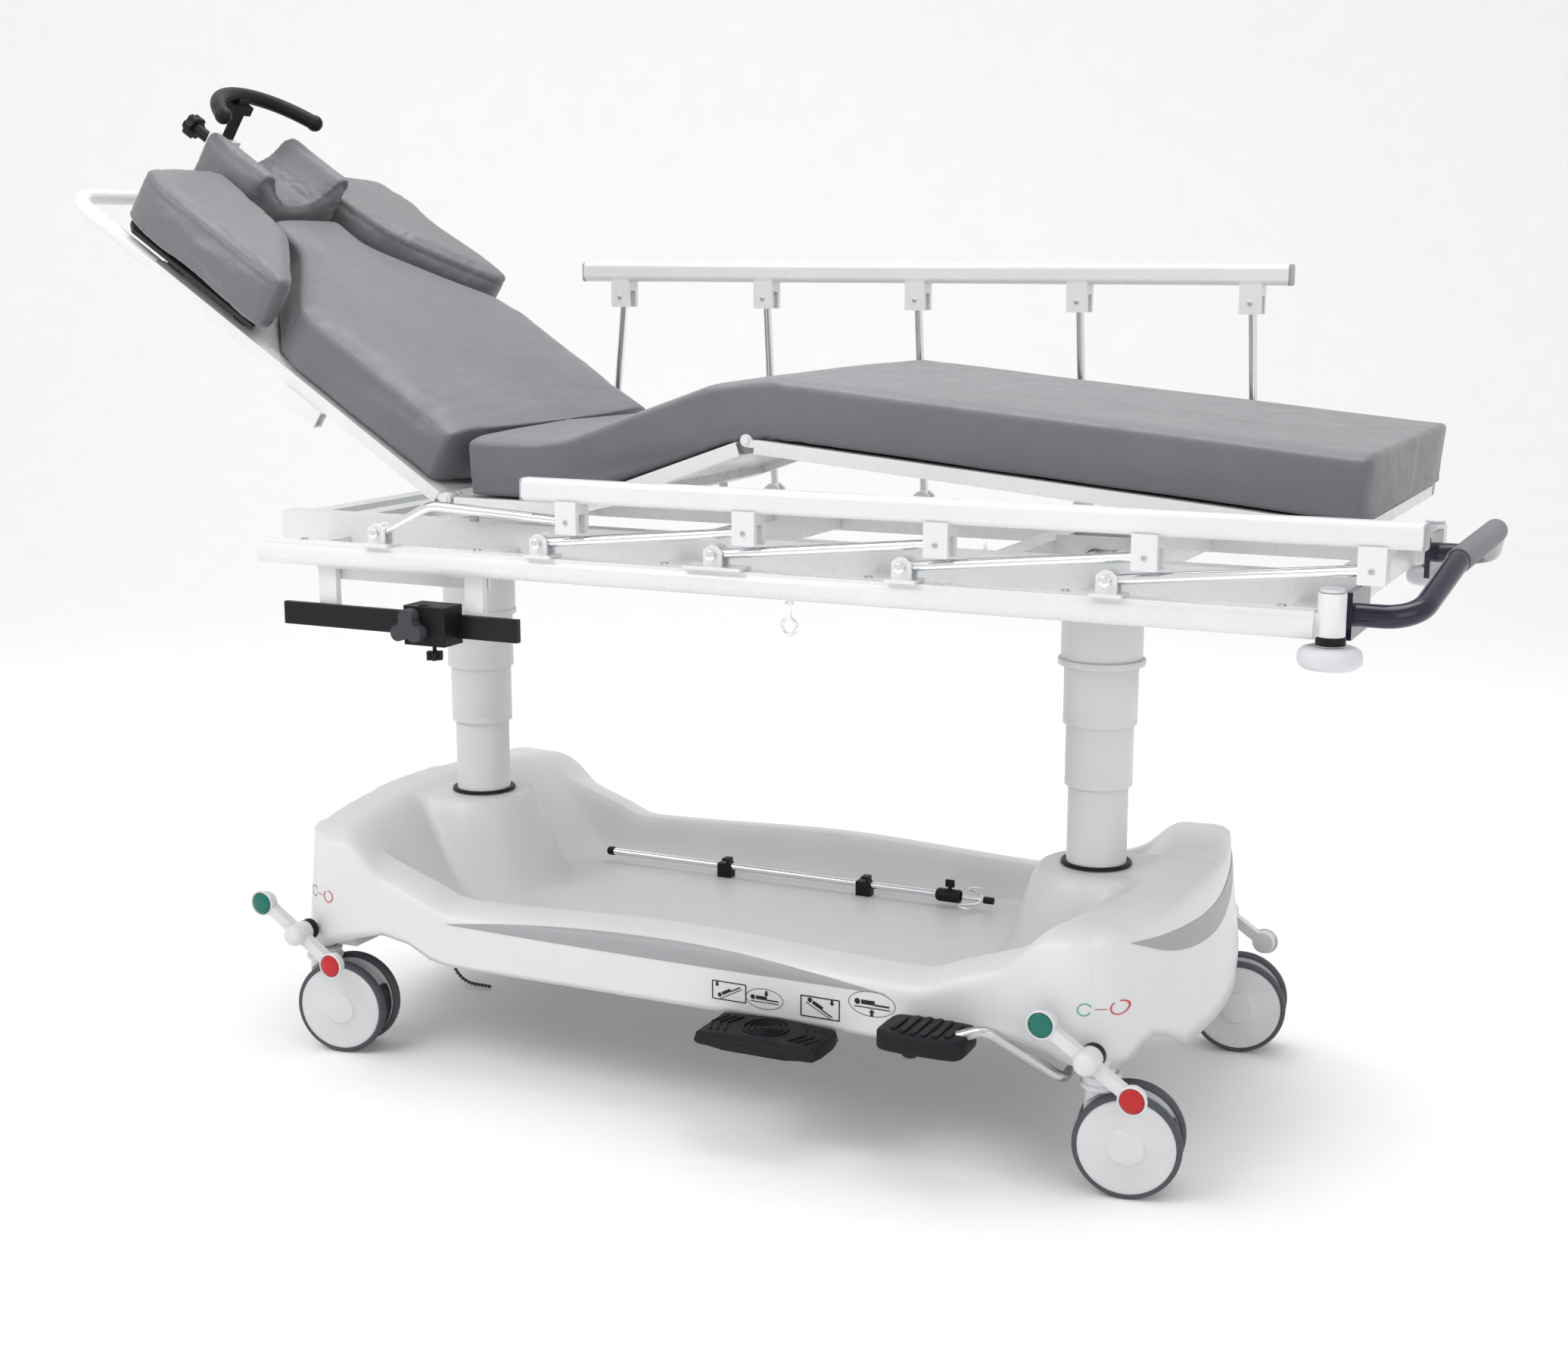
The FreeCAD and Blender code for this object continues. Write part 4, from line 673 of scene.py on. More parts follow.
def oval_print(name, x, z, across, up, width, material, steps=44, sweep=1.0, turn=0.0):
    """A printed ring, or part of one, on the near side."""
    rows = []
    for shrink in (width, 0):
        angles = [turn + math.tau * sweep * i / steps for i in range(steps + 1)]
        rows.append([(x + (across - shrink) * math.cos(a), -SIDE_Y, z + (up - shrink) * math.sin(a))
                     for a in angles])
    printed(name, rows, (0, 1, 0), material)


def ring_print(name, x, z, radius, width, material, sweep=1.0, turn=0.0):
    oval_print(name, x, z, radius, radius, width, material, 40, sweep, turn)


def patch_print(name, corners, material):
    """A small four-cornered print on the near side."""
    a, b, c, d = corners
    rows = []
    for j in range(3):
        left, right = Vector(a).lerp(Vector(d), j / 2), Vector(b).lerp(Vector(c), j / 2)
        rows.append([(p.x, -SIDE_Y, p.y) for p in (left.lerp(right, i / 4) for i in range(5))])
    printed(name, rows, (0, 1, 0), material)


def box_print(name, x0, x1, z0, z1, material):
    patch_print(name, [(x0, z0), (x1, z0), (x1, z1), (x0, z1)], material)


def icon(name, x, z, size, framed, lean, arrow):
    """A generic lying figure on a bed line, with an arrow."""
    if framed:
        sides = ((0, 0.5, 1, 0.03), (0, -0.5, 1, 0.03), (-1, 0, 0.03, 0.5), (1, 0, 0.03, 0.5))
        for k, (dx, dz, w, h) in enumerate(sides):
            cx, cz, hw, hh = x + dx * size, z + dz * size, w * size, h * size
            box_print(f"{name}_frame_{k}", cx - hw, cx + hw, cz - hh, cz + hh, INK)
    else:
        oval_print(f"{name}_frame", x, z, size, size * 0.52, 0.8, INK)

    def turned(px, pz):
        angle = math.radians(lean)
        return (x + (px * math.cos(angle) - pz * math.sin(angle)) * size,
                z + (px * math.sin(angle) + pz * math.cos(angle)) * size)

    def block(tag, x0, x1, z0, z1):
        patch_print(f"{name}_{tag}", [turned(x0, z0), turned(x1, z0), turned(x1, z1), turned(x0, z1)], INK)

    block("bed", -0.75, 0.78, -0.19, -0.15)
    block("body", -0.45, 0.12, -0.05, 0.13)
    block("legs", 0.12, 0.74, -0.07, 0.0)
    head = turned(-0.62, 0.04)
    ring_print(f"{name}_head", head[0], head[1], size * 0.12, size * 0.119, INK)
    ax, az = x + arrow[0] * size, z + arrow[1] * size
    tip = size * 0.14 * arrow[2]
    patch_print(f"{name}_arrow", [(ax - 0.13 * size, az), (ax + 0.13 * size, az),
                                  (ax + 0.01 * size, az + tip), (ax - 0.01 * size, az + tip)], INK)
    box_print(f"{name}_stem", ax - 0.06 * size, ax + 0.06 * size, az - tip, az, INK)


def prints():
    swooshes()
    icon("icon_head_down", 100, 211, 27, True, 28, (-0.72, 0.33, -1))
    icon("icon_level_down", 157, 208, 30, False, 0, (0.1, 0.28, -1))
    icon("icon_foot_down", 245, 208, 30, True, -28, (0.62, 0.33, -1))
    icon("icon_raise", 325, 226, 36, False, 0, (0.0, -0.36, 1))
    for x in (-632, 652):
        ring_print(f"free_mark_{x < 0}", x - 20, 262, 9, 1.4, GREEN_INK, 0.86, 0.4)
        ring_print(f"brake_mark_{x < 0}", x + 20, 262, 10, 1.6, RED_INK, 0.9, 2.2)
        box_print(f"mark_link_{x < 0}", x - 8, x + 7, 261, 262, RED_INK)


prints()


def base_fittings():
    """Clips, screws, gaskets and bushes fixed to the base."""
    for number, x in enumerate((-174, 85)):
        hook = [(-13, -20), (13, -20), (13, 6), (9, 12), (9, 19), (-4, 19), (-4, 15), (5, 15), (5, 10),
                (-13, 10)]
        turn = (Matrix.Translation(at(x, 186, 225)) @ Matrix.Rotation(math.pi / 2, 4, "X")
                @ Matrix.Scale(0.001, 4))
        rides(plate(f"pole_clip_{number}", turn, hook, -9, 9, BLACK_PLASTIC, 0.8), "base")
    screw = [(0, 1.6), (2.2, 1.6), (2.4, 3.0), (5.2, 2.4), (6.4, 0.8), (6.8, -1), (0, -1)]
    rides(lathe("tray_screw", looking((-276, 155, FLOOR_Z + 3), (0, 0, 1)), screw, STEEL, steps=24), "base")
    gasket = [(46.2, 0), (46.2, 4), (50, 4.6), (52.5, 3), (53, 0), (46.2, 0)]
    for end, sign in ENDS:
        place = looking((sign * COLUMN_X, 0, BOSS_TOP - 2), (0, 0, 1))
        rides(lathe(f"{end}_column_gasket", place, gasket, BLACK_PLASTIC), "base")
    bush = [(0, 0), (17, 0), (17, 14), (15, 17), (9, 18), (0, 18)]
    for end, sign in ENDS:
        for side, way in SIDES:
            place = looking((sign * CASTOR_X, way * (SIDE_Y - 1), BRAKE_Z), (0, way, 0))
            rides(lathe(f"{end}_{side}_brake_bush", place, bush, BLACK_PLASTIC, steps=36), "base")


base_fittings()


# ---------------------------------------------------------------- castors and brakes

TRAIL, WHEEL_R, WHEEL_AT, WHEEL_HALF, CASTOR_TURN = 40, 75, 26, 10, 10


def castor_frame(sx, sy):
    return (Matrix.Translation(at(sx * CASTOR_X, sy * CASTOR_Y, 0))
            @ Matrix.Rotation(math.radians(CASTOR_TURN), 4, "Z") @ Matrix.Scale(0.001, 4))


def castor(end, side, sx, sy):
    """Twin wheels on their axle, the swivel collar and the black shoe between the wheels."""
    hub = (castor_frame(sx, sy) @ Matrix.Translation((TRAIL, 0, WHEEL_R))
           @ Matrix.Rotation(-math.pi / 2, 4, "X"))
    half, radius = WHEEL_HALF, WHEEL_R
    profile = [(0, half + 3.4), (20, half + 3.2), (24, half + 2.6), (26, half + 0.6), (27.5, half - 0.4),
               (60, half - 1.0), (66, half - 1.6), (67.4, half - 2.2), (68, half - 1.0), (71, half - 1.2),
               (74.2, half - 3.8), (radius, half - 6.5), (radius, -half + 6.5), (74.2, -half + 3.8),
               (71, -half + 1.2), (68, -half + 1.0), (67.4, -half + 2.2), (60, -half + 1.4),
               (12, -half + 1.0), (0, -half + 1.0)]
    parts = [0] * 7 + [1] * 8 + [0] * 4
    for number, way in enumerate((-1, 1)):
        place = hub @ Matrix.Translation((0, 0, way * WHEEL_AT))
        place = place @ Matrix.Rotation(0 if way > 0 else math.pi, 4, "X")
        wheel = lathe(f"castor_{end}_{side}_disc_{number}", place, profile, HUB_WHITE, TYRE, steps=72,
                      parts=parts)
        rides(wheel, f"wheels_{end}_{side}", [f"castor_{end}_{side}_wheels"])
    axle = [(0, -WHEEL_AT), (6, -WHEEL_AT), (6, WHEEL_AT), (0, WHEEL_AT)]
    rides(lathe(f"castor_{end}_{side}_axle", hub, axle, STEEL, steps=24), f"wheels_{end}_{side}")
    swivel = castor_frame(sx, sy)
    collar = [(15, 146), (27, 146), (29, 149), (29, 153), (26, 155), (26, 160), (28, 162), (28, 165),
              (24, 168), (15, 168)]
    body = f"castor_{end}_{side}"
    rides(lathe(f"{body}_collar", swivel, collar, CASTOR_GREY), body)
    shoe = []
    for radius, degrees in ((68, range(-62, 33, 6)), (55, range(32, -63, -6))):
        for angle in map(math.radians, degrees):
            shoe.append((TRAIL + radius * math.cos(angle), WHEEL_R + radius * math.sin(angle)))
    upright = swivel @ Matrix.Rotation(math.pi / 2, 4, "X")
    rides(plate(f"{body}_shoe", upright, shoe, -12.5, 12.5, BLACK_PLASTIC, 1.2), body)


for end_name, sign_x in ENDS:
    for side_name, sign_y in SIDES:
        castor(end_name, side_name, sign_x, sign_y)


def brake_pads(end, x):
    """Coloured pads on the treads, and the hub caps, of one end's two levers."""
    dome = [(0, 5.4), (9, 5.0), (14, 4.0), (16.6, 2.2), (17.4, 0), (17.4, -3), (0, -3)]
    lip = [(17.4, 0), (17.9, 1.8), (19.4, 2.2), (20.6, 1.2), (20.8, -2), (17.4, -2), (17.4, 0)]
    knob = [(0, 12), (9, 11.2), (14, 8.5), (16.5, 4), (17, 0), (17, -8), (0, -8)]
    for side, way in SIDES:
        for tag, dx, dz, material in (("free", -65, 43, GREEN), ("lock", 64, -43, RED)):
            place = looking((x + dx, way * 379.5, BRAKE_Z + dz), (0, way, 0))
            pad = lathe(f"{end}_{side}_{tag}_pad", place, dome, material, steps=44)
            rides(pad, f"{end}_brake")
            rim = lathe(f"{end}_{side}_{tag}_lip", place, lip, HUB_WHITE, steps=44)
            rides(rim, f"{end}_brake")
        place = looking((x, way * 384, BRAKE_Z), (0, way, 0))
        rides(lathe(f"{end}_{side}_hub_knob", place, knob, HUB_WHITE, steps=40), f"{end}_brake")


brake_pads("head", -CASTOR_X)
brake_pads("foot", CASTOR_X)


# ---------------------------------------------------------------- pedals

def pump_pad():
    """A black ribbed rubber shoe over the pump pedal's plate."""
    place = Matrix.Translation(at(429, -399, 212)) @ Matrix.Scale(0.001, 4)
    rim = smoothed([(-63, -34), (-64, 0), (-62, 36), (-48, 42), (0, 43.5), (50, 42), (62, 36), (64, 0),
                    (63, -34), (50, -42), (0, -43.5), (-46, -42)], 1)
    shoe = plate("pump_shoe", place, rim, -15, 13.5, RUBBER, 6, 4)
    rides(shoe, "pump_pedal")
    for number, (rib_x, half) in enumerate(((-40, 26), (-24, 34), (-8, 36), (8, 36), (24, 34), (40, 28))):
        rib = soft_box(4.6, half, 4, (rib_x, 0))
        rides(plate(f"pump_rib_{number}", place, rib, 12, 16.5, RUBBER, 1.6), "pump_pedal")
    boss = [(0, -27), (9, -26), (13, -22), (14, -14), (0, -14)]
    rides(lathe("pump_boss", place @ Matrix.Translation((-18, -14, 0)), boss, RUBBER, steps=32), "pump_pedal")


def rocker_ridges():
    """Raised rings in the middle and chevrons at both ends of the rocker pedal."""
    place = Matrix.Translation(at(182, -392, 171)) @ Matrix.Scale(0.001, 4)
    for number, radius in enumerate((9, 17, 25, 33)):
        ring = [(radius - 1.5, 10), (radius - 1.2, 14.6), (radius, 15.2), (radius + 1.2, 14.6),
                (radius + 1.5, 10)]
        rides(lathe(f"rocker_ring_{number}", place, ring, RUBBER, steps=48), "rocker_pedal")
    for end, way in ENDS:
        for number in range(3):
            x = way * (50 + 12 * number)
            lift = 12.2 - 0.9 * number
            points = [(x, -30, lift), (x + way * 12, 0, lift - 0.9), (x, 30, lift)]
            chevron = bar(f"rocker_chevron_{end}_{number}", place, points, 1.8, RUBBER)
            rides(chevron, "rocker_pedal")
    corners = [(-97, -40), (-97, 40), (-80, 44), (80, 44), (97, 40), (97, -40), (80, -44), (-80, -44)]
    rim = smoothed(corners, 1)
    rides(plate("rocker_shoe", place, rim, -12, 4, RUBBER, 5, 4), "rocker_pedal")


pump_pad()
rocker_ridges()


# ---------------------------------------------------------------- upholstery

def inflated(obj, pinned, pressure, cap, frames=20):
    """Fills obj like a cushion: a short cloth run whose points may move at most cap millimetres."""
    start = [v.co.copy() for v in obj.data.vertices]
    if pinned:
        group = obj.vertex_groups.new(name="held")
        group.add(pinned, 1.0, "REPLACE")
    cloth = obj.modifiers.new("cloth", "CLOTH")
    settings = cloth.settings
    settings.use_pressure = True
    settings.uniform_pressure_force = pressure
    settings.effector_weights.gravity = 0
    settings.quality = 4
    settings.tension_stiffness = settings.compression_stiffness = 12
    settings.bending_stiffness = 0.8
    if pinned:
        settings.vertex_group_mass = "held"
    cloth.collision_settings.use_collision = False
    cloth.collision_settings.use_self_collision = False
    scene = bpy.context.scene
    for number in range(1, frames + 1):
        scene.frame_set(number)
    graph = bpy.context.evaluated_depsgraph_get()
    swollen = [v.co.copy() for v in obj.evaluated_get(graph).data.vertices]
    obj.modifiers.remove(cloth)
    obj.vertex_groups.clear()
    scene.frame_set(1)
    for vertex, first, last in zip(obj.data.vertices, start, swollen):
        move = last - first
        reach = cap / 1000
        if move.length > 1e-9:
            vertex.co = first + move.normalized() * reach * math.tanh(move.length / reach)
    return obj


def remeshed(obj, voxel):
    modified(obj, "REMESH", mode="VOXEL", voxel_size=voxel, use_smooth_shade=True)
    return applied(obj)


def relaxed(obj, rounds):
    modified(obj, "SMOOTH", iterations=rounds, factor=0.5)
    return applied(obj)


PAD_LOW, PAD_HIGH, HALF_WIDTH, SEAM_DROP = 6, 97, 306, 21
BACK_END, TAPER_START, TAPER_END, NECK_HALF = 626, 336, 558, 92
LEG_END = 866


def mattress_line():
    """Places along the bed from the head end: (frame, distance, half width)."""
    stations = []
    for number in range(59):
        s = BACK_END - 2 - (BACK_END - 32) * number / 58
        half = HALF_WIDTH if s < TAPER_START else along(
            ((TAPER_START, HALF_WIDTH), (380, 288), (TAPER_END - 30, 118), (TAPER_END, NECK_HALF + 4),
             (BACK_END, NECK_HALF)), s)
        stations.append((BACK, s, half))
    deck = LEVEL @ Matrix.Translation((0, 0, DECK_Z))
    for number in range(15):
        stations.append((deck, BACK_X + 36 + 130 * number / 14, HALF_WIDTH))
    for number in range(25):
        stations.append((THIGH, 40 + 244 * number / 24, HALF_WIDTH))
    for number in range(82):
        stations.append((LEG, 26 + (LEG_END - 28) * number / 81, HALF_WIDTH))
    return stations


def pad_section(half, low, high, bow):
    """A cushion's cross-section, counter-clockwise from the middle of the underside."""
    soft, sides = 13, 9
    points = []
    flat = 22
    for i in range(flat + 1):
        points.append((half * (-1 + 2 * i / flat) * 0.955, low))
    wall = []
    for i in range(1, sides):
        t = i / sides
        wall.append((half * (1 - 0.045 * (1 - t) ** 3) - bow * math.sin(math.pi * t) * 0.4,
                     low + (high - low) * t))
    points += wall
    for i in range(flat + 1):
        t = 1 - 2 * i / flat
        edge = max(0, (abs(t) - 1 + soft / half) / (soft / half))
        points.append((half * t * 0.992, high - 6 * edge ** 2 + 2.0 * (1 - t * t)))
    points += [(-across, height) for across, height in wall[::-1]]
    return points


def mattress_shell():
    """One closed skin over the whole bed, before it is parted at its joints."""
    points, marks = [], []
    stations = mattress_line()
    for place, distance, half in stations:
        section = pad_section(half, PAD_LOW, PAD_HIGH, 3)
        for y, h in section:
            points.append(place @ Vector((distance, y, h)))
            marks.append(h < PAD_LOW + 1)
    count = len(section)
    faces = tube_faces(len(stations), count)
    for i, flip in ((0, 1), (len(stations) - 1, -1)):
        ring = [i * count + j for j in range(count)]
        faces.append(tuple(ring[::flip]))
    obj = mesh("mattress", points, faces, VINYL)
    edit = bmesh.new()
    edit.from_mesh(obj.data)
    ends = [f for f in edit.faces if len(f.verts) > 4]
    bmesh.ops.poke(edit, faces=ends)
    bmesh.ops.recalc_face_normals(edit, faces=edit.faces)
    edit.to_mesh(obj.data)
    edit.free()
    held = [i for i, mark in enumerate(marks) if mark]
    return obj, held


def creased(obj, places, depth=2.6):
    """Cover wrinkles beside each bend: shallow folds that fade away from it."""
    normals = [v.normal.copy() for v in obj.data.vertices]
    for vertex, normal in zip(obj.data.vertices, normals):
        spot = (vertex.co - MIDDLE) * 1000
        push = 0.0
        for x, reach in places:
            near = math.exp(-((spot.x - x) / reach) ** 2)
            side = eased((abs(spot.y) - 268) / 36)
            fold = noise.noise(Vector((spot.x / 15, spot.y / 120, spot.z / 70 + x)))
            push += near * (0.35 + 0.65 * side) * fold * depth
        soft = noise.noise(Vector((spot.x / 130, spot.y / 110, spot.z / 60))) * 1.0
        vertex.co += normal * (push + soft) / 1000
    return obj


def sewn(obj, lines, depth=1.6, width=5.0):
    """Pulls a narrow channel into obj along polylines given in metres."""
    from_lines = []
    for line in lines:
        for a, b in zip(line, line[1:]):
            steps = max(1, int((b - a).length / 0.004))
            from_lines += [a.lerp(b, i / steps) for i in range(steps)]
    tree = KDTree(len(from_lines))
    for number, point in enumerate(from_lines):
        tree.insert(point, number)
    tree.balance()
    normals = [v.normal.copy() for v in obj.data.vertices]
    for vertex, normal in zip(obj.data.vertices, normals):
        _, _, gap = tree.find(vertex.co)
        gap *= 1000
        if gap < width * 2:
            vertex.co -= normal * depth / 1000 * math.exp(-(gap / width) ** 2 * 2)
    return obj


def mattress():
    """The mattress with its seams, parted into three pieces at the seat and thigh cuts."""
    obj, held = mattress_shell()
    inflated(obj, held, pressure=3.0, cap=5.0)
    modified(obj, "SUBSURF", levels=1, render_levels=1)
    applied(obj)
    creased(obj, ((BACK_X - 10, 95), (THIGH_X, 70), (KNEE[0] + 12, 120)))
    lines = []
    for way in (-1, 1):
        line = []
        for place, distance, half in mattress_line():
            line.append(place @ Vector((distance, way * (half + 2), PAD_HIGH - SEAM_DROP)))
        lines.append(line)
    sewn(obj, lines)
    seat_cut, thigh_cut = at(-295, 0, DECK_Z), THIGH @ Vector((165, 0, 50))
    along_seat, along_thigh = Vector((1, 0, 0)), (THIGH.to_3x3() @ Vector((1, 0, 0))).normalized()
    parts = []
    for name, cuts in (("mattress_backrest", [(seat_cut, -along_seat)]),
                       ("mattress_seat_thigh", [(seat_cut, along_seat), (thigh_cut, -along_thigh)]),
                       ("mattress_legs", [(thigh_cut, along_thigh)])):
        part = obj.copy()
        part.data = obj.data.copy()
        part.name = name
        bpy.context.scene.collection.objects.link(part)
        edit = bmesh.new()
        edit.from_mesh(part.data)
        for point, keep in cuts:
            bmesh.ops.bisect_plane(edit, geom=edit.verts[:] + edit.edges[:] + edit.faces[:], plane_co=point,
                                   plane_no=-keep, clear_outer=True)
        edit.to_mesh(part.data)
        edit.free()
        parts.append(part)
    bpy.data.objects.remove(obj)
    back, middle, legs = parts
    for part, nodes in ((back, ["mattress_back", "mattress_seat"]), (middle, ["mattress_thigh"]),
                        (legs, ["mattress_leg"])):
        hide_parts(*nodes)
    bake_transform(back)
    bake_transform(middle)
    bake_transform(legs)


SIDE_CUSHION = [(398, 292), (399, 314), (407, 326), (478, 329), (573, 323), (653, 331), (701, 314),
                (726, 297), (733, 240), (732, 182), (726, 128), (700, 120), (640, 124), (585, 132),
                (530, 150), (478, 202), (430, 256)]
CUSHION_LOW, CUSHION_HIGH = 33, 124


def filled_form(name, place, outline, low, high, edge, material):
    """A closed form over an outline, its top and bottom edges rounded over a width of edge."""
    rings = []
    steps = 5
    for i in range(steps + 1):
        angle = math.pi / 2 * i / steps
        rings.append((edge * (1 - math.sin(angle)), low + edge * (1 - math.cos(angle))))
    rings += [(inset, low + high - height) for inset, height in rings[::-1]]
    points, normals = [], []
    count = len(outline)
    for i in range(count):
        a, b = Vector(outline[i - 1]), Vector(outline[(i + 1) % count])
        across = (b - a).normalized()
        normals.append(Vector((across.y, -across.x)))
    area = sum(outline[i - 1][0] * outline[i][1] - outline[i][0] * outline[i - 1][1] for i in range(count))
    way = 1 if area > 0 else -1
    for inset, height in rings:
        for spot, out in zip(outline, normals):
            p = Vector(spot) - out * way * inset
            points.append(place @ Vector((p.x, p.y, height)))
    faces = tube_faces(len(rings), count) + end_faces(len(rings), count)
    return cleaned(mesh(name, points, faces, material))


def side_cushion(name, way):
    outline = smoothed([(s, way * y) for s, y in SIDE_CUSHION], 3)
    obj = filled_form(name, BACK, outline, CUSHION_LOW + 2, CUSHION_HIGH - 2, 7, VINYL_LIGHT)
    remeshed(obj, 0.005)
    relaxed(obj, 1)
    inflated(obj, None, pressure=3.0, cap=5.0)
    modified(obj, "SUBSURF", levels=1, render_levels=1)
    applied(obj)
    heights = (CUSHION_HIGH - 16, CUSHION_LOW + 16)
    lines = [[BACK @ Vector((s, y, h)) for s, y in outline + outline[:1]] for h in heights]
    sewn(obj, lines, depth=2.2, width=4.0)
    obj.data.polygons.foreach_set("use_smooth", [True] * len(obj.data.polygons))
    return rides(obj, "back")


def headrest():
    """A trough: two tall walls with a rounded channel between them, the same shape along its length."""
    start, end, wall, low, high, floor_h = 643, 781, 119, 22, 163, 108
    section = [(-wall, low + 10), (-wall, high - 10), (-wall + 5, high - 2), (-wall + 14, high)]
    for number in range(19):
        t = -1 + 2 * number / 18
        y = 90 * t
        section.append((y, floor_h + (high - 3 - floor_h) * abs(t) ** 2.3))
    section += [(wall - 14, high), (wall - 5, high - 2), (wall, high - 10), (wall, low + 10),
                (wall - 12, low), (-wall + 12, low)]
    rings = [(start + 3, 0.94), (start, 0.98), (start + 6, 1.0), ((start + end) / 2, 1.0), (end - 8, 1.0),
             (end, 0.97), (end - 1, 0.9)]
    points = []
    for s, scale in rings:
        for y, h in section:
            points.append(BACK @ Vector((s, y * scale, 90 + (h - 90) * scale)))
    count = len(section)
    faces = tube_faces(len(rings), count) + end_faces(len(rings), count)
    obj = cleaned(mesh("headrest_cushion", points, faces, VINYL_LIGHT))
    remeshed(obj, 0.0045)
    relaxed(obj, 3)
    inflated(obj, None, pressure=3.5, cap=5.0)
    modified(obj, "SUBSURF", levels=1, render_levels=1)
    applied(obj)
    lines = []
    for way in (-1, 1):
        lines.append([BACK @ Vector((start + 4 + (end - start - 8) * i / 30, way * (wall - 1), high - 11))
                      for i in range(31)])
    sewn(obj, lines, depth=1.8, width=3.5)
    return rides(obj, "back", ["head_cushions"])


mattress()
side_cushion("near_side_cushion", -1)
side_cushion("far_side_cushion", 1)
headrest()


# ---------------------------------------------------------------- upper frame details

def column_collars():
    """Wiper rings at the lower edge of each telescopic stage."""
    for end in ("head", "foot"):
        for stage in "abc":
            low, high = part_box(f"{end}_column_stage_{stage}")
            radius = (high.y - low.y) / 2 * 1000
            centre = ((low + high) / 2 - MIDDLE) * 1000
            proud = 1.3 if stage == "a" else 0.2
            ring = [(radius - 3, 0), (radius + proud * 0.6, 0.4), (radius + proud, 2), (radius + proud, 8),
                    (radius + proud * 0.5, 9.4), (radius - 3, 10), (radius - 3, 0)]
            place = looking((centre.x, centre.y, low.z * 1000), (0, 0, 1))
            rides(lathe(f"{end}_stage_{stage}_collar", place, ring, COLUMN, steps=72),
                  f"{end}_stage_{stage}")


column_collars()


def push_bar_sleeve():
    _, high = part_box("foot_push_bar")
    top = (high - MIDDLE).z * 1000 - 15
    x = (high - MIDDLE).x * 1000 - 15
    sleeve = [(14, -172), (16.2, -172), (16.9, -169), (16.9, 169), (16.2, 172), (14, 172)]
    rides(lathe("push_bar_grip", looking((x, 0, top), (0, 1, 0)), sleeve, SLEEVE), "top_frame")


push_bar_sleeve()


def rail_details(side):
    """The end caps of one side rail."""
    low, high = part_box(f"{side}_rail")
    low, high = (low - MIDDLE) * 1000, (high - MIDDLE) * 1000
    middle_y = (low.y + high.y) / 2
    bar_low, bar_high = high.z - 33, high.z
    for tag, x, out in (("head", low.x, -1), ("foot", high.x, 1)):
        ring = soft_box(16.2, 16.8, 6)
        place = (Matrix.Translation(at(x, middle_y, (bar_low + bar_high) / 2))
                 @ Matrix.Rotation(out * math.pi / 2, 4, "Y") @ Matrix.Rotation(math.pi / 2, 4, "Z")
                 @ Matrix.Scale(0.001, 4))
        cap = plate(f"{side}_rail_cap_{tag}", place, ring, -1, 3.2, CAP_GREY, 2.4)
        rides(cap, f"{side}_rail")


rail_details("near")
rail_details("far")


POST_X, POST_STEP, POST_Y, POST_Z, POST_REACH = -456, 280, 385, 856, 331
POSTS = range(5)


def bolt(name, spot, axis, radius, body, material=STEEL):
    """A domed screw head with a socket in its middle."""
    head = [(0, 0.9), (radius * 0.4, 0.9), (radius * 0.46, 1.9), (radius * 0.8, 1.7), (radius, 0.9),
            (radius, -0.6), (0, -0.6)]
    return rides(lathe(name, looking(spot, axis), head, material, steps=20), body)


def beam_details():
    """Grey outer strips and top bolts of the side beams, and the pins' heads in the post brackets."""
    section = [(803, 0.0), (806, 1.4), (811, 2.2), (817.5, 2.5), (824, 2.2), (829, 1.4), (832, 0.0)]
    stops = [-676, -674] + [-640 + 60 * i for i in range(26)] + [922, 924]
    for side, way in SIDES:
        points = []
        for x in stops:
            scale = 0.3 if x in (stops[0], stops[-1]) else 1
            for z, proud in section:
                points.append(at(x, way * (383 + proud * scale), z))
        faces = sheet_faces(len(stops), len(section))
        rides(cleaned(mesh(f"{side}_beam_strip", points, faces, SOCKET_GREY)), "top_frame")
        for number, x in enumerate((-612, -300, 12, 324, 600, 880)):
            bolt(f"{side}_beam_bolt_{number}", (x, way * 366, 835.2), (0, 0, 1), 6, "top_frame")
        for number in POSTS:
            pin = (POST_X + POST_STEP * number, way * 404.6, POST_Z)
            bolt(f"{side}_bracket_pin_{number}", pin, (0, way, 0), 7, "top_frame", CHROME)


def socket_screws():
    """Small screws in the sockets that hold the rails to their posts."""
    for side, way, angle in (("near", -1, 5.7), ("far", 1, 92.6)):
        turn = math.radians(angle)
        for number in POSTS:
            x = POST_X + POST_STEP * number + POST_REACH * math.cos(turn)
            z = POST_Z + POST_REACH * math.sin(turn)
            for face in (-1, 1):
                bolt(f"{side}_socket_screw_{number}_{'out' if face == way else 'in'}",
                     (x, way * POST_Y + face * 18.2, z), (0, face, 0), 3.6, f"{side}_rail")


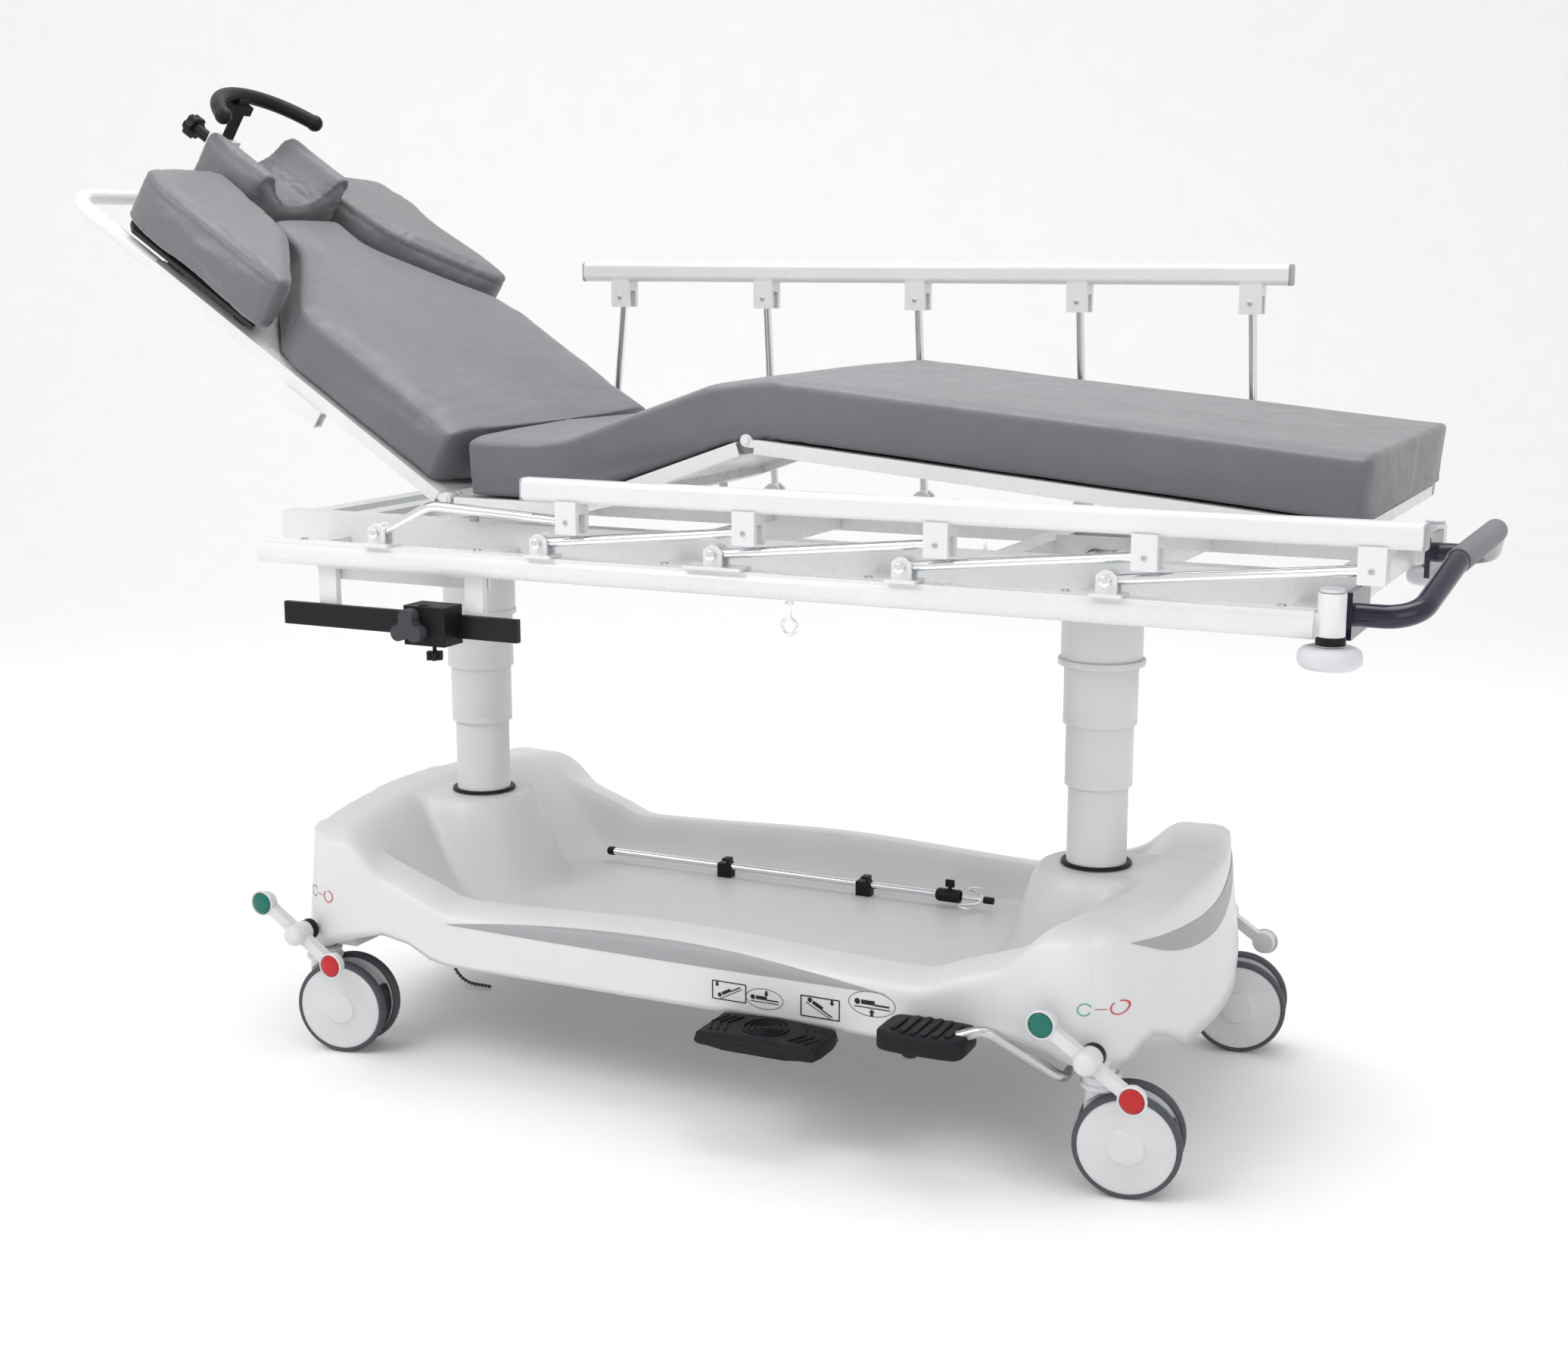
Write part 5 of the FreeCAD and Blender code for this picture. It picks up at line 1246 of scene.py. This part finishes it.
def pole_caps():
    """Black end cap, clamping sleeve and tip of the stowed infusion pole."""
    cap = [(0, -406.2), (6, -406), (7.4, -404), (7.6, -394), (6.2, -393), (5.5, -393)]
    sleeve = [(6.2, 214), (8.6, 214.4), (10.4, 217), (11.1, 219), (11.1, 253), (10.4, 255.4), (6.4, 256)]
    tip = [(4.4, 296), (5.6, 296.4), (5.9, 298), (5.9, 312.4), (5, 313.2), (0, 313.6)]
    place = looking((0, 186, 229), (1, 0, 0))
    for name, profile, body in (("pole_cap", cap, "base"), ("pole_sleeve", sleeve, "base"),
                                ("pole_tip", tip, "pole_rod")):
        rides(lathe(name, place, profile, BLACK_PLASTIC, steps=36), body)


def buffer_rings():
    """Black rings round the buffer tubes."""
    ring = [(17, 0), (18.2, 0.4), (18.6, 1.4), (18.6, 10), (18.0, 11), (17, 11.2)]
    for side, way in SIDES:
        place = looking((945, way * 383, 793), (0, 0, 1))
        rides(lathe(f"{side}_buffer_ring", place, ring, BLACK_PLASTIC, steps=40), "top_frame")


def wrist_rest_details():
    """The chrome boss of the wrist rest's knob."""
    boss = [(5, -26), (8, -26), (9.4, -24), (9.4, -4), (8, -2), (5, -2)]
    place = BACK @ Matrix.Translation((868, 0, 105)) @ Matrix.Rotation(math.pi / 2, 4, "Y")
    rides(lathe("wrist_knob_boss", place, boss, CHROME, steps=36), "wrist_knob")


beam_details()
socket_screws()
pole_caps()
buffer_rings()
wrist_rest_details()


# ---------------------------------------------------------------- finishes of the carried-over CAD nodes

FINISHES = {
    COLUMN: ["chassis", *(f"{end}_column_stage_{stage}" for end in ("head", "foot") for stage in "abc")],
    WHITE: ["upper_frame", "side_beams", "back_frame", "thigh_frame", "leg_frame", "post_brackets"],
    HUB_WHITE: ["head_brake_levers", "foot_brake_levers"],
    CASTOR_GREY: [f"castor_{end}_{side}_hood" for end in ("head", "foot") for side in ("near", "far")],
    STEEL: ["tilt_trunnion", "pump_pedal"],
    CHROME: ["pole_tube", "pole_rod", "near_latch_pull", "far_latch_pull",
             *(f"{side}_post_{n}" for side in ("near", "far") for n in range(1, 6))],
    RAIL: ["near_rail", "far_rail"],
    BUFFER: ["buffer_near", "buffer_far"],
    NAVY: ["foot_push_bar"],
    BLACK_PAINT: ["accessory_rail"],
    BLACK_PLASTIC: ["wrist_rest", "wrist_knob", "clamp_screw", "rail_clamp", "pole_screw"],
    KNOB_GREY: ["clamp_knob"],
    RUBBER: ["rocker_pedal"],
    BOARD: ["side_boards"],
}


def finish_frame():
    for material, names in FINISHES.items():
        for name in names:
            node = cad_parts[name]
            node.data.materials.clear()
            node.data.materials.append(material)
            modified(node, "WELD", merge_threshold=0.00002)
            modified(node, "BEVEL", width=0.0012, segments=2, limit_method="ANGLE",
                     angle_limit=math.radians(40), harden_normals=True)


finish_frame()


# ---------------------------------------------------------------- floor and light

def add_stage():
    """A pale floor that curves up into a backdrop."""
    profile = [(-5.0, 0), (-3.0, 0), (0, 0), (3.2, 0), (4.6, 0.05), (5.6, 0.5), (6.2, 1.4), (6.4, 3),
               (6.4, 6)]
    line = smoothed(profile, 2, closed=False)
    yaw = math.radians(25.39)
    forward, aside = Vector((-math.sin(yaw), math.cos(yaw), 0)), Vector((math.cos(yaw), math.sin(yaw), 0))
    points, faces = [], []
    for distance, height in line:
        for across in (-9, 9):
            p = MIDDLE + forward * distance + aside * across
            points.append((p.x, p.y, height - 0.0005))
    for i in range(len(line) - 1):
        faces.append((2 * i, 2 * i + 1, 2 * i + 3, 2 * i + 2))
    floor = mesh("floor", points, faces, FLOOR)


def add_light(name, spot, aim, size, power):
    data = bpy.data.lights.new(name, "AREA")
    data.shape = "RECTANGLE"
    data.size, data.size_y = size
    data.energy = power
    light = bpy.data.objects.new(name, data)
    light.location = MIDDLE + Vector(spot)
    light.rotation_euler = (MIDDLE + Vector(aim) - light.location).to_track_quat("-Z", "Y").to_euler()
    bpy.context.scene.collection.objects.link(light)


WORLD_STRENGTH = 0.86


def add_world():
    world = bpy.data.worlds.new("studio")
    bpy.context.scene.world = world
    world.use_nodes = True
    background = world.node_tree.nodes["Background"]
    background.inputs["Color"].default_value = (1, 1, 1, 1)
    background.inputs["Strength"].default_value = WORLD_STRENGTH


bpy.context.scene.view_settings.view_transform = "Standard"
add_stage()
add_world()
add_light("key", (-1.8, -2.6, 3.4), (0, 0, 0.6), (2.4, 1.8), 60)
add_light("fill", (2.8, -2.4, 1.8), (0, 0, 0.6), (2.2, 1.8), 14)
add_light("top", (0.2, 0.4, 3.6), (0, 0, 0.5), (3.2, 1.8), 72)
